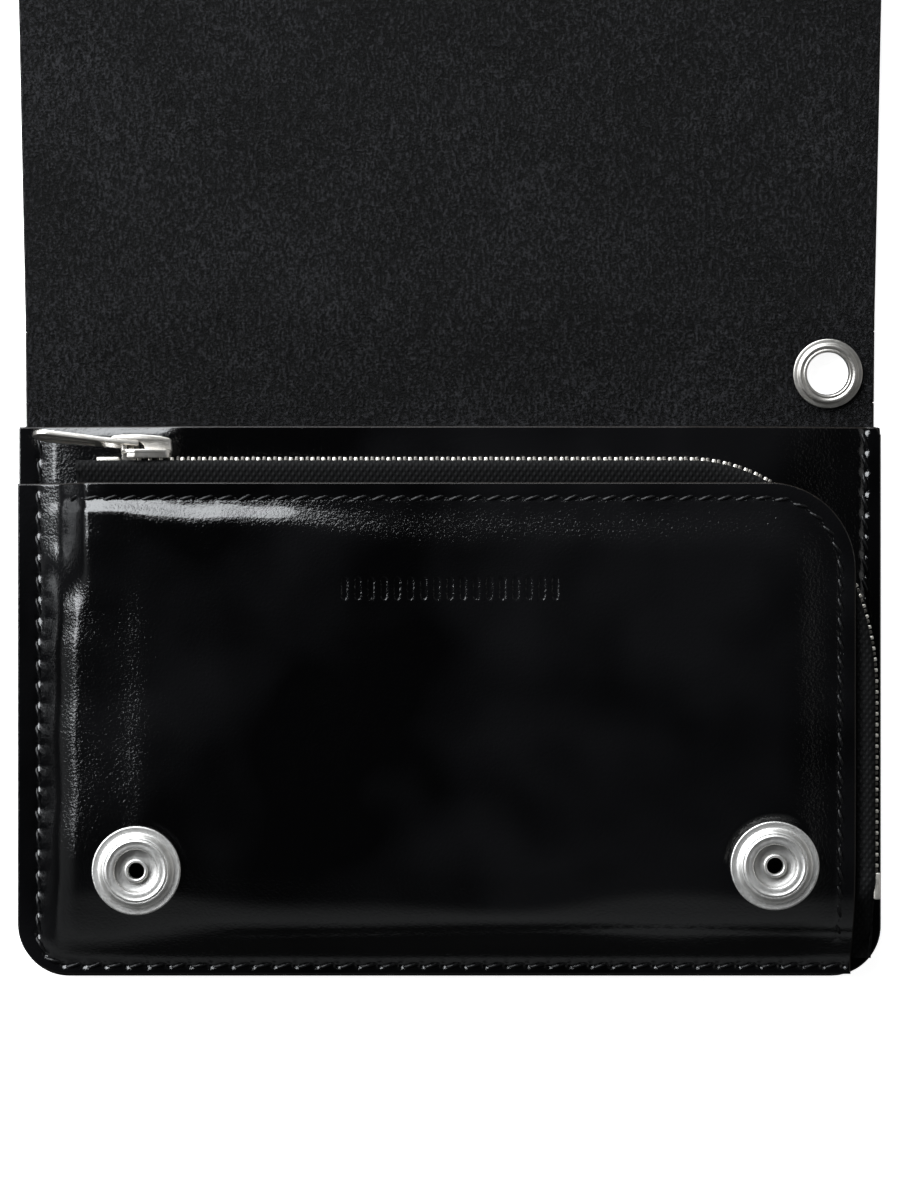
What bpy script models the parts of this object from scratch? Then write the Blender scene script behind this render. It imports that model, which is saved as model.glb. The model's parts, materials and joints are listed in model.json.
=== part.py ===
"""Chain wallet: a folding leather wallet with a zipped coin pouch, two snap fasteners and a chain eyelet.

It lies open on its back: X runs across it, Y from the pouch end to the flap end, Z up, in metres.
The body is a pocket for notes with the coin pouch on top of it; the spine and the flap are the rest of
the cover. Closed, the spine stands up behind the pockets and the flap lies over them, its studs in
the sockets.
"""

import math

import bmesh
import bpy

MM = 0.001

# Cover and pockets. Heights are measured up from the table.
BODY_WIDTH = 150 * MM
BODY_LENGTH = 95.5 * MM
BODY_CORNER = 8.7 * MM
COVER_THICK = 1.5 * MM
GAP = 0.3 * MM
NOTE_PANEL_THICK = 1.1 * MM
NOTE_PANEL_HEIGHT = 6.3 * MM
POUCH_BACK_THICK = 0.8 * MM
POUCH_FRONT_THICK = 1.1 * MM
POUCH_FRONT_HEIGHT = 15.6 * MM
POUCH_TOP = -9.95 * MM
POUCH_BOTTOM = -95.0 * MM
POUCH_RIGHT = 69.5 * MM
POUCH_CORNER = 15 * MM
MARGIN = 4.5 * MM
BOTTOM_MARGIN = 2.5 * MM
RISE_LENGTH = 9 * MM
RISE_STEPS = 7

# Folds of the cover.
HINGE_Y = 1.3 * MM
SPINE_LENGTH = 18.3 * MM
SPINE_SLOPE = math.radians(5)
FLAP_LENGTH = 95.5 * MM
FLAP_SLOPE = math.radians(0.8)
FOLD_HALF_WIDTH = 73.9 * MM
FLAP_FLARE = 55 * MM
FOLD_GAP = 0.15 * MM

# Snap fasteners and eyelet.
SNAPS = {"left": (-53.6 * MM, -76.35 * MM), "right": (55.5 * MM, -75.5 * MM)}
SPRING_RADIUS = 4.1 * MM
SPRING_WIRE = 0.15 * MM
SPRING_HEIGHT = 1.08 * MM
POST_HOLE_RADIUS = 1.95 * MM
STUD_HOLE_RADIUS = 1.8 * MM
EYELET_X = 65.8 * MM
EYELET_Y = 9.4 * MM
EYELET_RADIUS = 6.05 * MM
EYELET_LEATHER_HOLE = 4.45 * MM
EYELET_RECESS = 0.8 * MM

# Zip: the chain stands on edge along the pouch's mouth and turns the corner with it.
ZIP_Y = -6.3 * MM
ZIP_RIGHT = 72.8 * MM
ZIP_CORNER_X = 41.1 * MM
ZIP_CORNER_Y = -45.5 * MM
ZIP_HEIGHT = 12.0 * MM
TAPE_THICK = 0.4 * MM
TAPE_WIDTH = 7 * MM
TAPE_START = -61.2 * MM
TAPE_END = -83.2 * MM
TEETH_START = -56.45 * MM
TEETH_END = -76.6 * MM
TEETH_THICK = 2.2 * MM
TEETH_INNER = 0.45 * MM
TEETH_OUTER = 2.05 * MM
STOP_LENGTH = 3.9 * MM
BOTTOM_STOP_LENGTH = 4.6 * MM
SLIDER_X = -52.2 * MM
SLIDER_LENGTH = 8.6 * MM
PULL_X = -1.7 * MM
PULL_Y = 2.78 * MM
PULL_LENGTH = 18 * MM
PULL_SLOPE = math.radians(6)

ROUND_STEPS = 28

# The frame's origin is under the middle of the open wallet.
SPINE_END_Y = HINGE_Y + SPINE_LENGTH * math.cos(SPINE_SLOPE)
SPINE_END_Z = COVER_THICK + SPINE_LENGTH * math.sin(SPINE_SLOPE)
TIP_Y = SPINE_END_Y + FLAP_LENGTH * math.cos(FLAP_SLOPE) + COVER_THICK * math.sin(FLAP_SLOPE)
BODY_TOP_Y = (BODY_LENGTH - TIP_Y) / 2


def clear_scene():
    for obj in list(bpy.data.objects):
        bpy.data.objects.remove(obj, do_unlink=True)


def collection(name):
    made = bpy.data.collections.new(name)
    bpy.context.scene.collection.children.link(made)
    return made


def material(name, color, roughness, metallic=0.0):
    made = bpy.data.materials.new(name)
    made.use_nodes = True
    shader = made.node_tree.nodes["Principled BSDF"]
    shader.inputs["Base Color"].default_value = (*color, 1.0)
    shader.inputs["Roughness"].default_value = roughness
    shader.inputs["Metallic"].default_value = metallic
    return made


def empty(name, location, tilt=0.0, parent=None):
    made = bpy.data.objects.new(name, None)
    PARTS.objects.link(made)
    made.empty_display_size = 5 * MM
    made.location = location
    made.rotation_euler = (tilt, 0, 0)
    made.parent = parent
    return made


def part(name, mesh, finish, parent, location=(0, 0, 0)):
    made = bpy.data.objects.new(name, mesh)
    PARTS.objects.link(made)
    made.parent = parent
    made.location = location
    mesh.materials.append(finish)
    return made


def cutter(name, mesh, parent, location=(0, 0, 0)):
    made = bpy.data.objects.new(name, mesh)
    CUTTERS.objects.link(made)
    made.parent = parent
    made.location = location
    made.hide_render = True
    made.display_type = "WIRE"
    return made


def boolean(obj, other, operation):
    modifier = obj.modifiers.new(operation.title(), "BOOLEAN")
    modifier.operation = operation
    modifier.solver = "EXACT"
    modifier.object = other


def smooth(mesh, angle=40):
    mesh.shade_smooth()
    mesh.set_sharp_from_angle(angle=math.radians(angle))


def evaluated_mesh(name, data):
    """The closed mesh of a curve, with its loose caps welded on."""
    source = bpy.data.objects.new(name, data)
    bpy.context.scene.collection.objects.link(source)
    graph = bpy.context.evaluated_depsgraph_get()
    mesh = bpy.data.meshes.new_from_object(source.evaluated_get(graph))
    bpy.data.objects.remove(source, do_unlink=True)
    welded = bmesh.new()
    welded.from_mesh(mesh)
    bmesh.ops.remove_doubles(welded, verts=welded.verts, dist=0.001 * MM)
    bmesh.ops.recalc_face_normals(welded, faces=welded.faces)
    welded.to_mesh(mesh)
    welded.free()
    mesh.name = name
    return mesh


def prism(name, outlines, low, high):
    """A flat outline, with any holes in it, between two heights."""
    curve = bpy.data.curves.new(name, "CURVE")
    curve.dimensions = "2D"
    curve.fill_mode = "BOTH"
    curve.extrude = (high - low) / 2
    for outline in outlines:
        spline = curve.splines.new("POLY")
        spline.points.add(len(outline) - 1)
        for point, (x, y) in zip(spline.points, outline):
            point.co = (x, y, 0, 1)
        spline.use_cyclic_u = True
    mesh = evaluated_mesh(name, curve)
    for vertex in mesh.vertices:
        vertex.co.z += (high + low) / 2
    return mesh


def arc(x, y, radius, start, end, steps=8):
    angles = [math.radians(start + (end - start) * i / steps) for i in range(steps + 1)]
    return [(x + radius * math.cos(a), y + radius * math.sin(a)) for a in angles]


def circle(x, y, radius, steps=ROUND_STEPS):
    return arc(x, y, radius, 0, 360, steps)[:-1]


def box_mesh(name, low, high):
    made = bmesh.new()
    bmesh.ops.create_cube(made, size=1)
    for vertex in made.verts:
        vertex.co = [a + (c + 0.5) * (b - a) for a, b, c in zip(low, high, vertex.co)]
    mesh = bpy.data.meshes.new(name)
    made.to_mesh(mesh)
    made.free()
    return mesh


def turned(name, profile, finish, parent, location):
    """A turned piece from (radius, height) points that run down its outer side.

    A profile that starts on the axis is a solid; any other is closed and makes a ring."""
    mesh = bpy.data.meshes.new(name)
    count = len(profile)
    is_ring = profile[0][0] > 0
    edges = [(i, (i + 1) % count) for i in range(count if is_ring else count - 1)]
    mesh.from_pydata([(radius, 0, height) for radius, height in profile], edges, [])
    made = part(name, mesh, finish, parent, location)
    screw = made.modifiers.new("Turn", "SCREW")
    screw.steps = ROUND_STEPS
    screw.render_steps = ROUND_STEPS
    screw.use_merge_vertices = True
    screw.merge_threshold = 0.001 * MM
    screw.use_smooth_shade = True
    return made


def in_mm(points):
    return [(a * MM, b * MM) for a, b in points]


# Pockets ------------------------------------------------------------------------------------------


def rise(distance):
    """How far a panel has risen, from 0 at its sewn margin to 1 where it is flat."""
    t = min(max(distance / RISE_LENGTH, 0), 1)
    return t * t * (3 - 2 * t)


def rise_stations(start, direction):
    return [start + direction * RISE_LENGTH * i / RISE_STEPS for i in range(RISE_STEPS + 1)]


def panel_rise(x, y, sewn_right):
    left = rise(x + BODY_WIDTH / 2 - MARGIN)
    right = rise(BODY_WIDTH / 2 - MARGIN - x) if sewn_right else 1
    bottom = rise(y - POUCH_BOTTOM - BOTTOM_MARGIN)
    return left * right * bottom


def panel(name, outlines, margin_height, height, thick, sewn_right, finish):
    """A leather panel that is sewn down along its margins and stands clear of what is under it."""
    half = BODY_WIDTH / 2 + 2 * MM
    mesh = box_mesh(name, (-half, -BODY_LENGTH - 2 * MM, 0), (half, 2 * MM, thick))
    columns = rise_stations(-BODY_WIDTH / 2 + MARGIN, 1)
    if sewn_right:
        columns += rise_stations(BODY_WIDTH / 2 - MARGIN, -1)
    rows = rise_stations(POUCH_BOTTOM + BOTTOM_MARGIN, 1)
    cuts = [((x, 0, 0), (1, 0, 0)) for x in columns] + [((0, y, 0), (0, 1, 0)) for y in rows]
    shape = bmesh.new()
    shape.from_mesh(mesh)
    for point, normal in cuts:
        geometry = shape.verts[:] + shape.edges[:] + shape.faces[:]
        bmesh.ops.bisect_plane(shape, geom=geometry, plane_co=point, plane_no=normal)
    for vertex in shape.verts:
        share = panel_rise(vertex.co.x, vertex.co.y, sewn_right)
        vertex.co.z += margin_height + (height - margin_height) * share
    shape.to_mesh(mesh)
    shape.free()
    made = part(name, mesh, finish, BODY)
    edge = cutter(name + "_outline", prism(name + "_outline", outlines, -5 * MM, 30 * MM), BODY)
    boolean(made, edge, "INTERSECT")
    return made


def body_outline(top):
    half = BODY_WIDTH / 2
    inner = half - BODY_CORNER
    low = -BODY_LENGTH + BODY_CORNER
    return (
        [(half, top), (-half, top)]
        + arc(-inner, low, BODY_CORNER, 180, 270)
        + arc(inner, low, BODY_CORNER, 270, 360)
    )


def pouch_outline():
    left = -BODY_WIDTH / 2
    return (
        [(left, POUCH_TOP)]
        + arc(left + BODY_CORNER, POUCH_BOTTOM + BODY_CORNER, BODY_CORNER, 180, 270)
        + [(POUCH_RIGHT, POUCH_BOTTOM)]
        + arc(POUCH_RIGHT - POUCH_CORNER, POUCH_TOP - POUCH_CORNER, POUCH_CORNER, 0, 90)
    )


def make_pockets():
    back = prism("cover_back", [body_outline(HINGE_Y - FOLD_GAP)], 0, COVER_THICK)
    part("cover_back", back, LEATHER, BODY)
    note_margin = COVER_THICK + GAP
    outline = body_outline(0)
    panel("bill_pocket_panel", [outline], note_margin, NOTE_PANEL_HEIGHT, NOTE_PANEL_THICK, True, LEATHER)
    pouch_margin = note_margin + NOTE_PANEL_THICK + GAP
    pouch_height = NOTE_PANEL_HEIGHT + NOTE_PANEL_THICK + GAP
    outline = pouch_outline()
    panel("coin_pouch_back", [outline], pouch_margin, pouch_height, POUCH_BACK_THICK, False, LINING)
    front_margin = pouch_margin + POUCH_BACK_THICK + GAP
    holes = [circle(x, y, POST_HOLE_RADIUS) for x, y in SNAPS.values()]
    outlines = [outline, *holes]
    panel("coin_pouch_front", outlines, front_margin, POUCH_FRONT_HEIGHT, POUCH_FRONT_THICK, False, LEATHER)


# Folding cover ------------------------------------------------------------------------------------


def make_cover():
    low, high = FOLD_GAP, SPINE_LENGTH - FOLD_GAP
    half = FOLD_HALF_WIDTH
    spine_outline = [(-half, low), (half, low), (half, high), (-half, high)]
    eyelet_y = (EYELET_Y - HINGE_Y) / math.cos(SPINE_SLOPE)
    barrel_hole = circle(EYELET_X, eyelet_y, EYELET_LEATHER_HOLE)
    spine_mesh = prism("cover_spine", [spine_outline, barrel_hole], -COVER_THICK, 0)
    spine = part("cover_spine", spine_mesh, LEATHER, SPINE)
    recess_outline = circle(EYELET_X, eyelet_y, EYELET_RADIUS + 0.35 * MM)
    recess = prism("eyelet_recess", [recess_outline], -COVER_THICK - 2 * MM, -COVER_THICK + EYELET_RECESS)
    boolean(spine, cutter("eyelet_recess", recess, SPINE), "DIFFERENCE")

    wide = BODY_WIDTH / 2
    inner = wide - BODY_CORNER
    tip = FLAP_LENGTH - BODY_CORNER
    outline = (
        [(-half, FOLD_GAP), (half, FOLD_GAP), (wide, FLAP_FLARE)]
        + arc(inner, tip, BODY_CORNER, 0, 90)
        + arc(-inner, tip, BODY_CORNER, 90, 180)
        + [(-wide, FLAP_FLARE)]
    )
    holes = [circle(x, HINGE_Y - y, STUD_HOLE_RADIUS) for x, y in SNAPS.values()]
    part("cover_flap", prism("cover_flap", [outline, *holes], -COVER_THICK, 0), LEATHER, FLAP)

    # The flanged eyelet goes in from the inner side and is rolled over a washer on the outer side.
    eyelet = in_mm([
        (4.6, 1.1), (5.1, 1.0), (5.7, 0.6), (6.05, 0.3), (4.15, 0.3),
        (4.15, -1.42), (5.0, -1.42), (5.0, -1.7), (3.68, -1.7), (3.68, 0.7), (4.05, 1.0),
    ])
    washer = in_mm([(6.05, -0.95), (6.05, -1.2), (4.45, -1.2), (4.45, -0.95)])
    centre = (EYELET_X, eyelet_y, 0)
    turned("chain_eyelet", eyelet, NICKEL, SPINE, centre)
    turned("eyelet_washer", washer, NICKEL, SPINE, centre)


# Snap fasteners -----------------------------------------------------------------------------------


def make_snaps():
    # Heights above the pouch front. The socket holds a ring spring in the groove behind its mouth.
    socket = in_mm([
        (5.1, 2.0), (5.55, 1.85), (6.1, 1.05), (6.5, 0.78), (7.6, 0.7), (7.6, 0.3), (1.95, 0.3),
        (1.95, 0.62), (3.0, 0.66), (3.7, 0.8), (4.6, 0.8), (4.6, 1.35), (3.7, 1.35), (3.7, 1.55),
    ])
    # A hollow post comes up through the pouch front and is rolled out over the socket's floor.
    post = in_mm([
        (1.65, 1.2), (2.3, 1.1), (2.3, 0.92), (1.65, 0.92), (1.65, -1.4),
        (5.0, -1.4), (5.0, -1.9), (1.4, -1.9), (1.4, 1.1),
    ])
    # Heights above the flap's inner side.
    stud = in_mm([
        (3.15, 1.95), (3.3, 1.8), (3.2, 0.75), (6.0, 0.75), (6.0, 0.3), (1.8, 0.3),
        (1.8, 1.0), (2.45, 1.0), (2.45, 1.8), (2.6, 1.95),
    ])
    cap = in_mm([
        (0, 1.0), (1.5, 1.0), (1.5, -1.8), (7.2, -1.8), (7.5, -2.1), (7.3, -2.6),
        (6.0, -3.35), (4.0, -3.85), (2.0, -4.07), (0, -4.12),
    ])
    pouch_top = POUCH_FRONT_HEIGHT + POUCH_FRONT_THICK
    for side, (x, y) in SNAPS.items():
        centre = (x, y, pouch_top)
        turned("snap_socket_" + side, socket, NICKEL, BODY, centre)
        turned("snap_post_" + side, post, NICKEL, BODY, centre)
        ring_spring("snap_spring_" + side, (x, y, pouch_top + SPRING_HEIGHT))
        flap_centre = (x, HINGE_Y - y, 0)
        turned("flap_stud_" + side, stud, NICKEL, FLAP, flap_centre)
        turned("flap_cap_" + side, cap, NICKEL, FLAP, flap_centre)


def ring_spring(name, centre):
    """A wire ring with a gap of 40 degrees."""
    curve = bpy.data.curves.new(name, "CURVE")
    curve.dimensions = "3D"
    curve.bevel_depth = SPRING_WIRE
    curve.bevel_resolution = 1
    curve.use_fill_caps = True
    spline = curve.splines.new("POLY")
    points = arc(0, 0, SPRING_RADIUS, 20, 340, 18)
    spline.points.add(len(points) - 1)
    for point, (x, y) in zip(spline.points, points):
        point.co = (x, y, 0, 1)
    mesh = evaluated_mesh(name, curve)
    smooth(mesh)
    part(name, mesh, STEEL, BODY, centre)


# Zip ----------------------------------------------------------------------------------------------


def zip_ribbon(start, end, inner, outer):
    """The outline of a band along the zip, between two distances towards the outside of its line."""
    corner_a = ZIP_RIGHT - ZIP_CORNER_X
    corner_b = ZIP_Y - ZIP_CORNER_Y
    line = [(start, ZIP_Y, 0, 1)]
    for i in range(13):
        angle = math.radians(90 - 90 * i / 12)
        x = ZIP_CORNER_X + corner_a * math.cos(angle)
        y = ZIP_CORNER_Y + corner_b * math.sin(angle)
        away = math.hypot(corner_b * math.cos(angle), corner_a * math.sin(angle))
        line.append((x, y, corner_b * math.cos(angle) / away, corner_a * math.sin(angle) / away))
    line.append((ZIP_RIGHT, end, 1, 0))
    outside = [(x + nx * outer, y + ny * outer) for x, y, nx, ny in line]
    inside = [(x + nx * inner, y + ny * inner) for x, y, nx, ny in line]
    return outside + inside[::-1]


def make_tape(name, flange_low, flange_high, edge_low, edge_high):
    """A tape that lies along the pouch panel and turns up at its edge to carry the teeth."""
    half = TAPE_THICK / 2
    flange = zip_ribbon(TAPE_START, TAPE_END, -TAPE_WIDTH, half)
    made = part(name, prism(name, [flange], flange_low, flange_high), TAPE, BODY)
    edge = zip_ribbon(TAPE_START + 0.05 * MM, TAPE_END + 0.05 * MM, -half, half - 0.04 * MM)
    joined = cutter(name + "_edge", prism(name + "_edge", [edge], edge_low, edge_high), BODY)
    boolean(made, joined, "UNION")


def make_zip():
    front_low = POUCH_FRONT_HEIGHT - GAP - TAPE_THICK
    back_low = NOTE_PANEL_HEIGHT + NOTE_PANEL_THICK + POUCH_BACK_THICK + 2 * GAP
    front_teeth_top = ZIP_HEIGHT + TEETH_OUTER
    back_teeth_low = ZIP_HEIGHT - TEETH_OUTER
    buried = TAPE_THICK / 2
    make_tape("zip_tape_front", front_low, front_low + TAPE_THICK, front_teeth_top + GAP, front_low + buried)
    make_tape("zip_tape_back", back_low, back_low + TAPE_THICK, back_low + buried, back_teeth_low - GAP)

    rows = {
        "front": (ZIP_HEIGHT + TEETH_INNER, ZIP_HEIGHT + TEETH_OUTER),
        "back": (ZIP_HEIGHT - TEETH_OUTER, ZIP_HEIGHT - TEETH_INNER),
    }
    half = TEETH_THICK / 2
    stop_end = TEETH_START - GAP
    for side, (low, high) in rows.items():
        name = "zip_teeth_" + side
        teeth = prism(name, [zip_ribbon(TEETH_START, TEETH_END, -half, half)], low, high)
        part(name, teeth, BRASS_NICKEL, BODY)
        name = "zip_top_stop_" + side
        stop = box_mesh(name, (stop_end - STOP_LENGTH, ZIP_Y - half, low), (stop_end, ZIP_Y + half, high))
        part(name, stop, BRASS_NICKEL, BODY)
    low = (ZIP_RIGHT - half, TEETH_END - GAP - BOTTOM_STOP_LENGTH, ZIP_HEIGHT - TEETH_OUTER)
    high = (ZIP_RIGHT + half, TEETH_END - GAP, ZIP_HEIGHT + TEETH_OUTER)
    part("zip_bottom_stop", box_mesh("zip_bottom_stop", low, high), BRASS_NICKEL, BODY)


def channel(name, outline):
    """The outline of a slider's plate, across the zip, drawn out along it."""
    mesh = prism(name, [outline], -SLIDER_LENGTH / 2, SLIDER_LENGTH / 2)
    for vertex in mesh.vertices:
        across, away, along = vertex.co
        vertex.co = (along, away, across)
    mesh.flip_normals()
    return mesh


def make_slider():
    """The slider in its own frame: X along the zip, Y away from the pouch, Z across the zip."""
    top_plate = in_mm([
        (-3.5, 2.1), (-3.5, 0.55), (-2.3, 0.55), (-2.3, 1.3),
        (2.3, 1.3), (2.3, 0.55), (3.5, 0.55), (3.5, 2.1),
    ])
    bottom_plate = in_mm([
        (-2.5, -2.1), (-2.5, -0.6), (-2.2, -0.6), (-2.2, -1.3),
        (2.2, -1.3), (2.2, -0.6), (2.5, -0.6), (2.5, -2.1),
    ])
    neck = ((-4.1 * MM, -1.8 * MM, -0.25 * MM), (-1.2 * MM, 1.8 * MM, 0.25 * MM))
    arch = in_mm([
        (-4.2, 1.8), (-4.2, 3.1), (-5.4, 3.5), (-5.4, 4.1), (-4.2, 4.5), (-1.5, 4.5),
        (0.6, 4.25), (2.6, 4.1), (3.7, 3.7), (4.2, 3.0), (4.25, 1.8),
    ])
    eye = in_mm([(-3.1, 2.1), (-0.3, 2.1), (-0.1, 2.8), (-0.5, 3.45), (-3.1, 3.45)])
    slider = part("zip_slider_body", channel("zip_slider_body", top_plate), NICKEL, SLIDER)
    neck_mesh = box_mesh("slider_neck", *neck)
    arch_mesh = prism("slider_bridge", [arch], -0.8 * MM, 0.8 * MM)
    boolean(slider, cutter("slider_neck", neck_mesh, SLIDER), "UNION")
    bottom_mesh = channel("slider_bottom_plate", bottom_plate)
    boolean(slider, cutter("slider_bottom_plate", bottom_mesh, SLIDER), "UNION")
    boolean(slider, cutter("slider_bridge", arch_mesh, SLIDER), "UNION")
    eye_mesh = prism("slider_eye", [eye], -2 * MM, 2 * MM)
    boolean(slider, cutter("slider_eye", eye_mesh, SLIDER), "DIFFERENCE")


def make_pull():
    """The pull in its own frame: X towards its free end, Z across the zip. Its crossbar is on the axis."""
    tip = PULL_LENGTH - 3 * MM
    outline = (
        [(-0.4 * MM, -2.4 * MM), (6 * MM, -2.5 * MM)]
        + arc(tip, 0, 3 * MM, -90, 90)
        + [(6 * MM, 2.5 * MM), (-0.4 * MM, 2.4 * MM)]
    )
    window = in_mm([(0.4, -1.5), (6.6, -1.5), (6.6, 1.5), (0.4, 1.5)])
    mesh = prism("zip_pull_tab", [outline, window], -0.4 * MM, 0.4 * MM)
    for vertex in mesh.vertices:
        along, across, away = vertex.co
        vertex.co = (along, -away, across)
    pull = part("zip_pull_tab", mesh, NICKEL, PULL)
    pull.rotation_euler = (0, 0, math.pi - PULL_SLOPE)


clear_scene()
PARTS = collection("chain_wallet")
CUTTERS = collection("cutters")

LEATHER = material("black_leather", (0.012, 0.012, 0.013), 0.25)
LINING = material("inner_leather", (0.02, 0.02, 0.021), 0.6)
TAPE = material("zip_tape", (0.015, 0.015, 0.016), 0.85)
NICKEL = material("nickel", (0.62, 0.6, 0.56), 0.25, 1.0)
BRASS_NICKEL = material("zip_metal", (0.7, 0.68, 0.64), 0.3, 1.0)
STEEL = material("spring_steel", (0.5, 0.5, 0.5), 0.35, 1.0)

BODY = empty("body_frame", (0, BODY_TOP_Y, 0))
SPINE = empty("spine_fold_axis", (0, HINGE_Y, COVER_THICK), SPINE_SLOPE, BODY)
FLAP = empty("flap_fold_axis", (0, SPINE_END_Y, SPINE_END_Z), FLAP_SLOPE, BODY)
SLIDER = empty("slider_frame", (SLIDER_X, ZIP_Y, ZIP_HEIGHT), parent=BODY)
PULL = empty("pull_axis", (PULL_X, PULL_Y, 0), parent=SLIDER)

make_pockets()
make_cover()
make_snaps()
make_zip()
make_slider()
make_pull()
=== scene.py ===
"""Looks for the chain wallet: leather, sewing, zip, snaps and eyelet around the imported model."""

import json
import math

import bmesh
import bpy
import numpy as np
from mathutils import Matrix, Vector
from mathutils.geometry import delaunay_2d_cdt


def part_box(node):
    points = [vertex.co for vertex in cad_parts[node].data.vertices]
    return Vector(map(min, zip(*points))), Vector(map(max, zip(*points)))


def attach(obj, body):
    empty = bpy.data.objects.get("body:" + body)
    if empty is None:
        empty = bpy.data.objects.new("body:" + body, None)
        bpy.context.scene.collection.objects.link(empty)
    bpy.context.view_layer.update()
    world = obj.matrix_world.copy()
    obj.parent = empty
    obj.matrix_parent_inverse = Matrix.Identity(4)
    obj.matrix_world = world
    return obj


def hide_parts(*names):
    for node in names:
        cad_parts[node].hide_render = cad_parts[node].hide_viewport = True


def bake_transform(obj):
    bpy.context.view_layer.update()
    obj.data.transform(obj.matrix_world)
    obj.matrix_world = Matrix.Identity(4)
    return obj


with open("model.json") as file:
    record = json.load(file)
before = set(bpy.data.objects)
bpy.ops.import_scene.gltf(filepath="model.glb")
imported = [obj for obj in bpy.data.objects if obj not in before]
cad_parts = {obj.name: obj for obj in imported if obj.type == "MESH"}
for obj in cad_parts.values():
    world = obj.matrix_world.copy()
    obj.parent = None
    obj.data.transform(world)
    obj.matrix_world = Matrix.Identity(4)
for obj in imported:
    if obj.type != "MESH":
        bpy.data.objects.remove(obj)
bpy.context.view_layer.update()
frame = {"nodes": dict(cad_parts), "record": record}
MM = 0.001

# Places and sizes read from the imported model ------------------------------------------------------

JOINTS = {joint["name"]: joint for joint in frame["record"]["behaviour"]["joints"]}
FOLD_A = Vector(JOINTS["spine_fold"]["pos_m"])
FOLD_B = Vector(JOINTS["flap_fold"]["pos_m"])
PULL_AXIS = Vector(JOINTS["pull_swing"]["pos_m"])


def low(node):
    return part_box(node)[0]


def high(node):
    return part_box(node)[1]


def centre(node):
    return (Vector(low(node)) + Vector(high(node))) / 2


HALF_WIDTH = high("cover_back")[0]
BODY_BOTTOM = low("cover_back")[1]
BODY_TOP = high("bill_pocket_panel")[1]
COVER = high("cover_back")[2]
FOLD_HALF = high("cover_spine")[0]
POUCH_TOP = high("coin_pouch_front")[1]
POUCH_BOTTOM = low("coin_pouch_front")[1]
POUCH_RIGHT = high("coin_pouch_front")[0]
NOTE_LOW, NOTE_HIGH = low("bill_pocket_panel")[2], high("bill_pocket_panel")[2]
BACK_LOW, BACK_HIGH = low("coin_pouch_back")[2], high("coin_pouch_back")[2]
FRONT_LOW, FRONT_HIGH = low("coin_pouch_front")[2], high("coin_pouch_front")[2]
NOTE_THICK = 1.1 * MM
BACK_THICK = 0.8 * MM
FRONT_THICK = 1.1 * MM
WELT_DROP = 0.7 * MM
CORNER = 8.7 * MM
POUCH_CORNER = 15 * MM
LEFT_SEAM = 3.6 * MM
BOTTOM_SEAM = 1.75 * MM
MOUTH_SEAM = 2.65 * MM
NOTE_SEAM = 2.8 * MM
SNAPS = {side: centre("snap_socket_" + side) for side in ("left", "right")}
EYELET = centre("chain_eyelet")
ZIP_Y = centre("zip_top_stop_front")[1]
ZIP_Z = centre("zip_bottom_stop")[2]
ZIP_RIGHT = centre("zip_bottom_stop")[0]
ZIP_CORNER_X = 41.1 * MM
ZIP_CORNER_Y = BODY_TOP - 45.5 * MM
ZIP_END = high("zip_bottom_stop")[1]
ZIP_START = high("zip_top_stop_front")[0]
STITCH = 3.27 * MM
EDGE_STITCH = 3.65 * MM
TOOTH_PITCH = 1.86 * MM
POST_HOLE = 1.95 * MM
EYELET_HOLE = 4.3 * MM
FLAP_TILT = math.radians(0.8)


# Mesh helpers -------------------------------------------------------------------------------------

SHARP = math.radians(50)


def linked(name, data):
    """A new object in the scene."""
    obj = bpy.data.objects.new(name, data)
    bpy.context.scene.collection.objects.link(obj)
    return obj


def shade(mesh, sharp=SHARP):
    """Smooth shading, apart from edges sharper than this angle."""
    mesh.shade_smooth()
    mesh.set_sharp_from_angle(angle=sharp)


def mesh_from(shape, name):
    """The mesh of a bmesh, which is freed."""
    mesh = bpy.data.meshes.new(name)
    shape.to_mesh(mesh)
    shape.free()
    return mesh


def add_mesh(name, vertices, faces, materials, indices=None, smooth=True):
    mesh = bpy.data.meshes.new(name)
    mesh.from_pydata([tuple(v) for v in vertices], [], [tuple(int(i) for i in f) for f in faces])
    for made in materials:
        mesh.materials.append(made)
    if indices is not None:
        mesh.polygons.foreach_set("material_index", np.asarray(indices, dtype=np.int32))
    if smooth:
        shade(mesh)
    return linked(name, mesh)


def put(piece, node, body):
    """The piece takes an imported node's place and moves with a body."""
    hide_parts(node)
    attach(piece, body)


def step(t):
    t = np.clip(t, 0, 1)
    return t * t * (3 - 2 * t)


def bump_at(distance, width):
    """1 at distance 0, falling to 0 like a bell."""
    return np.exp(-((distance / width) ** 2))


def arc(x, y, radius, start, end, steps=20):
    angles = np.radians(np.linspace(start, end, steps))
    return [(x + radius * math.cos(a), y + radius * math.sin(a)) for a in angles]


def lengths(line):
    """How far along a path each of its points is."""
    return np.concatenate([[0], np.cumsum(np.linalg.norm(np.diff(line, axis=0), axis=1))])


def ahead_and_left(line):
    """The directions along a path and to its left."""
    ahead = np.gradient(line, axis=0)
    ahead /= np.linalg.norm(ahead, axis=1)[:, None]
    return ahead, np.stack([-ahead[:, 1], ahead[:, 0]], axis=1)


def grid_of(x, y):
    """The points of a grid, row after row."""
    return np.stack(np.meshgrid(x, y), axis=-1).reshape(-1, 2)


def dense(points, spacing, closed=True):
    """The points of a path, set evenly at about this spacing."""
    line = np.array(list(points) + ([points[0]] if closed else []))
    away = lengths(line)
    count = max(2, round(away[-1] / spacing))
    at = np.linspace(0, away[-1], count + 1)
    if closed:
        at = at[:-1]
    return np.stack([np.interp(at, away, line[:, i]) for i in range(line.shape[1])], axis=1)


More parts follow.
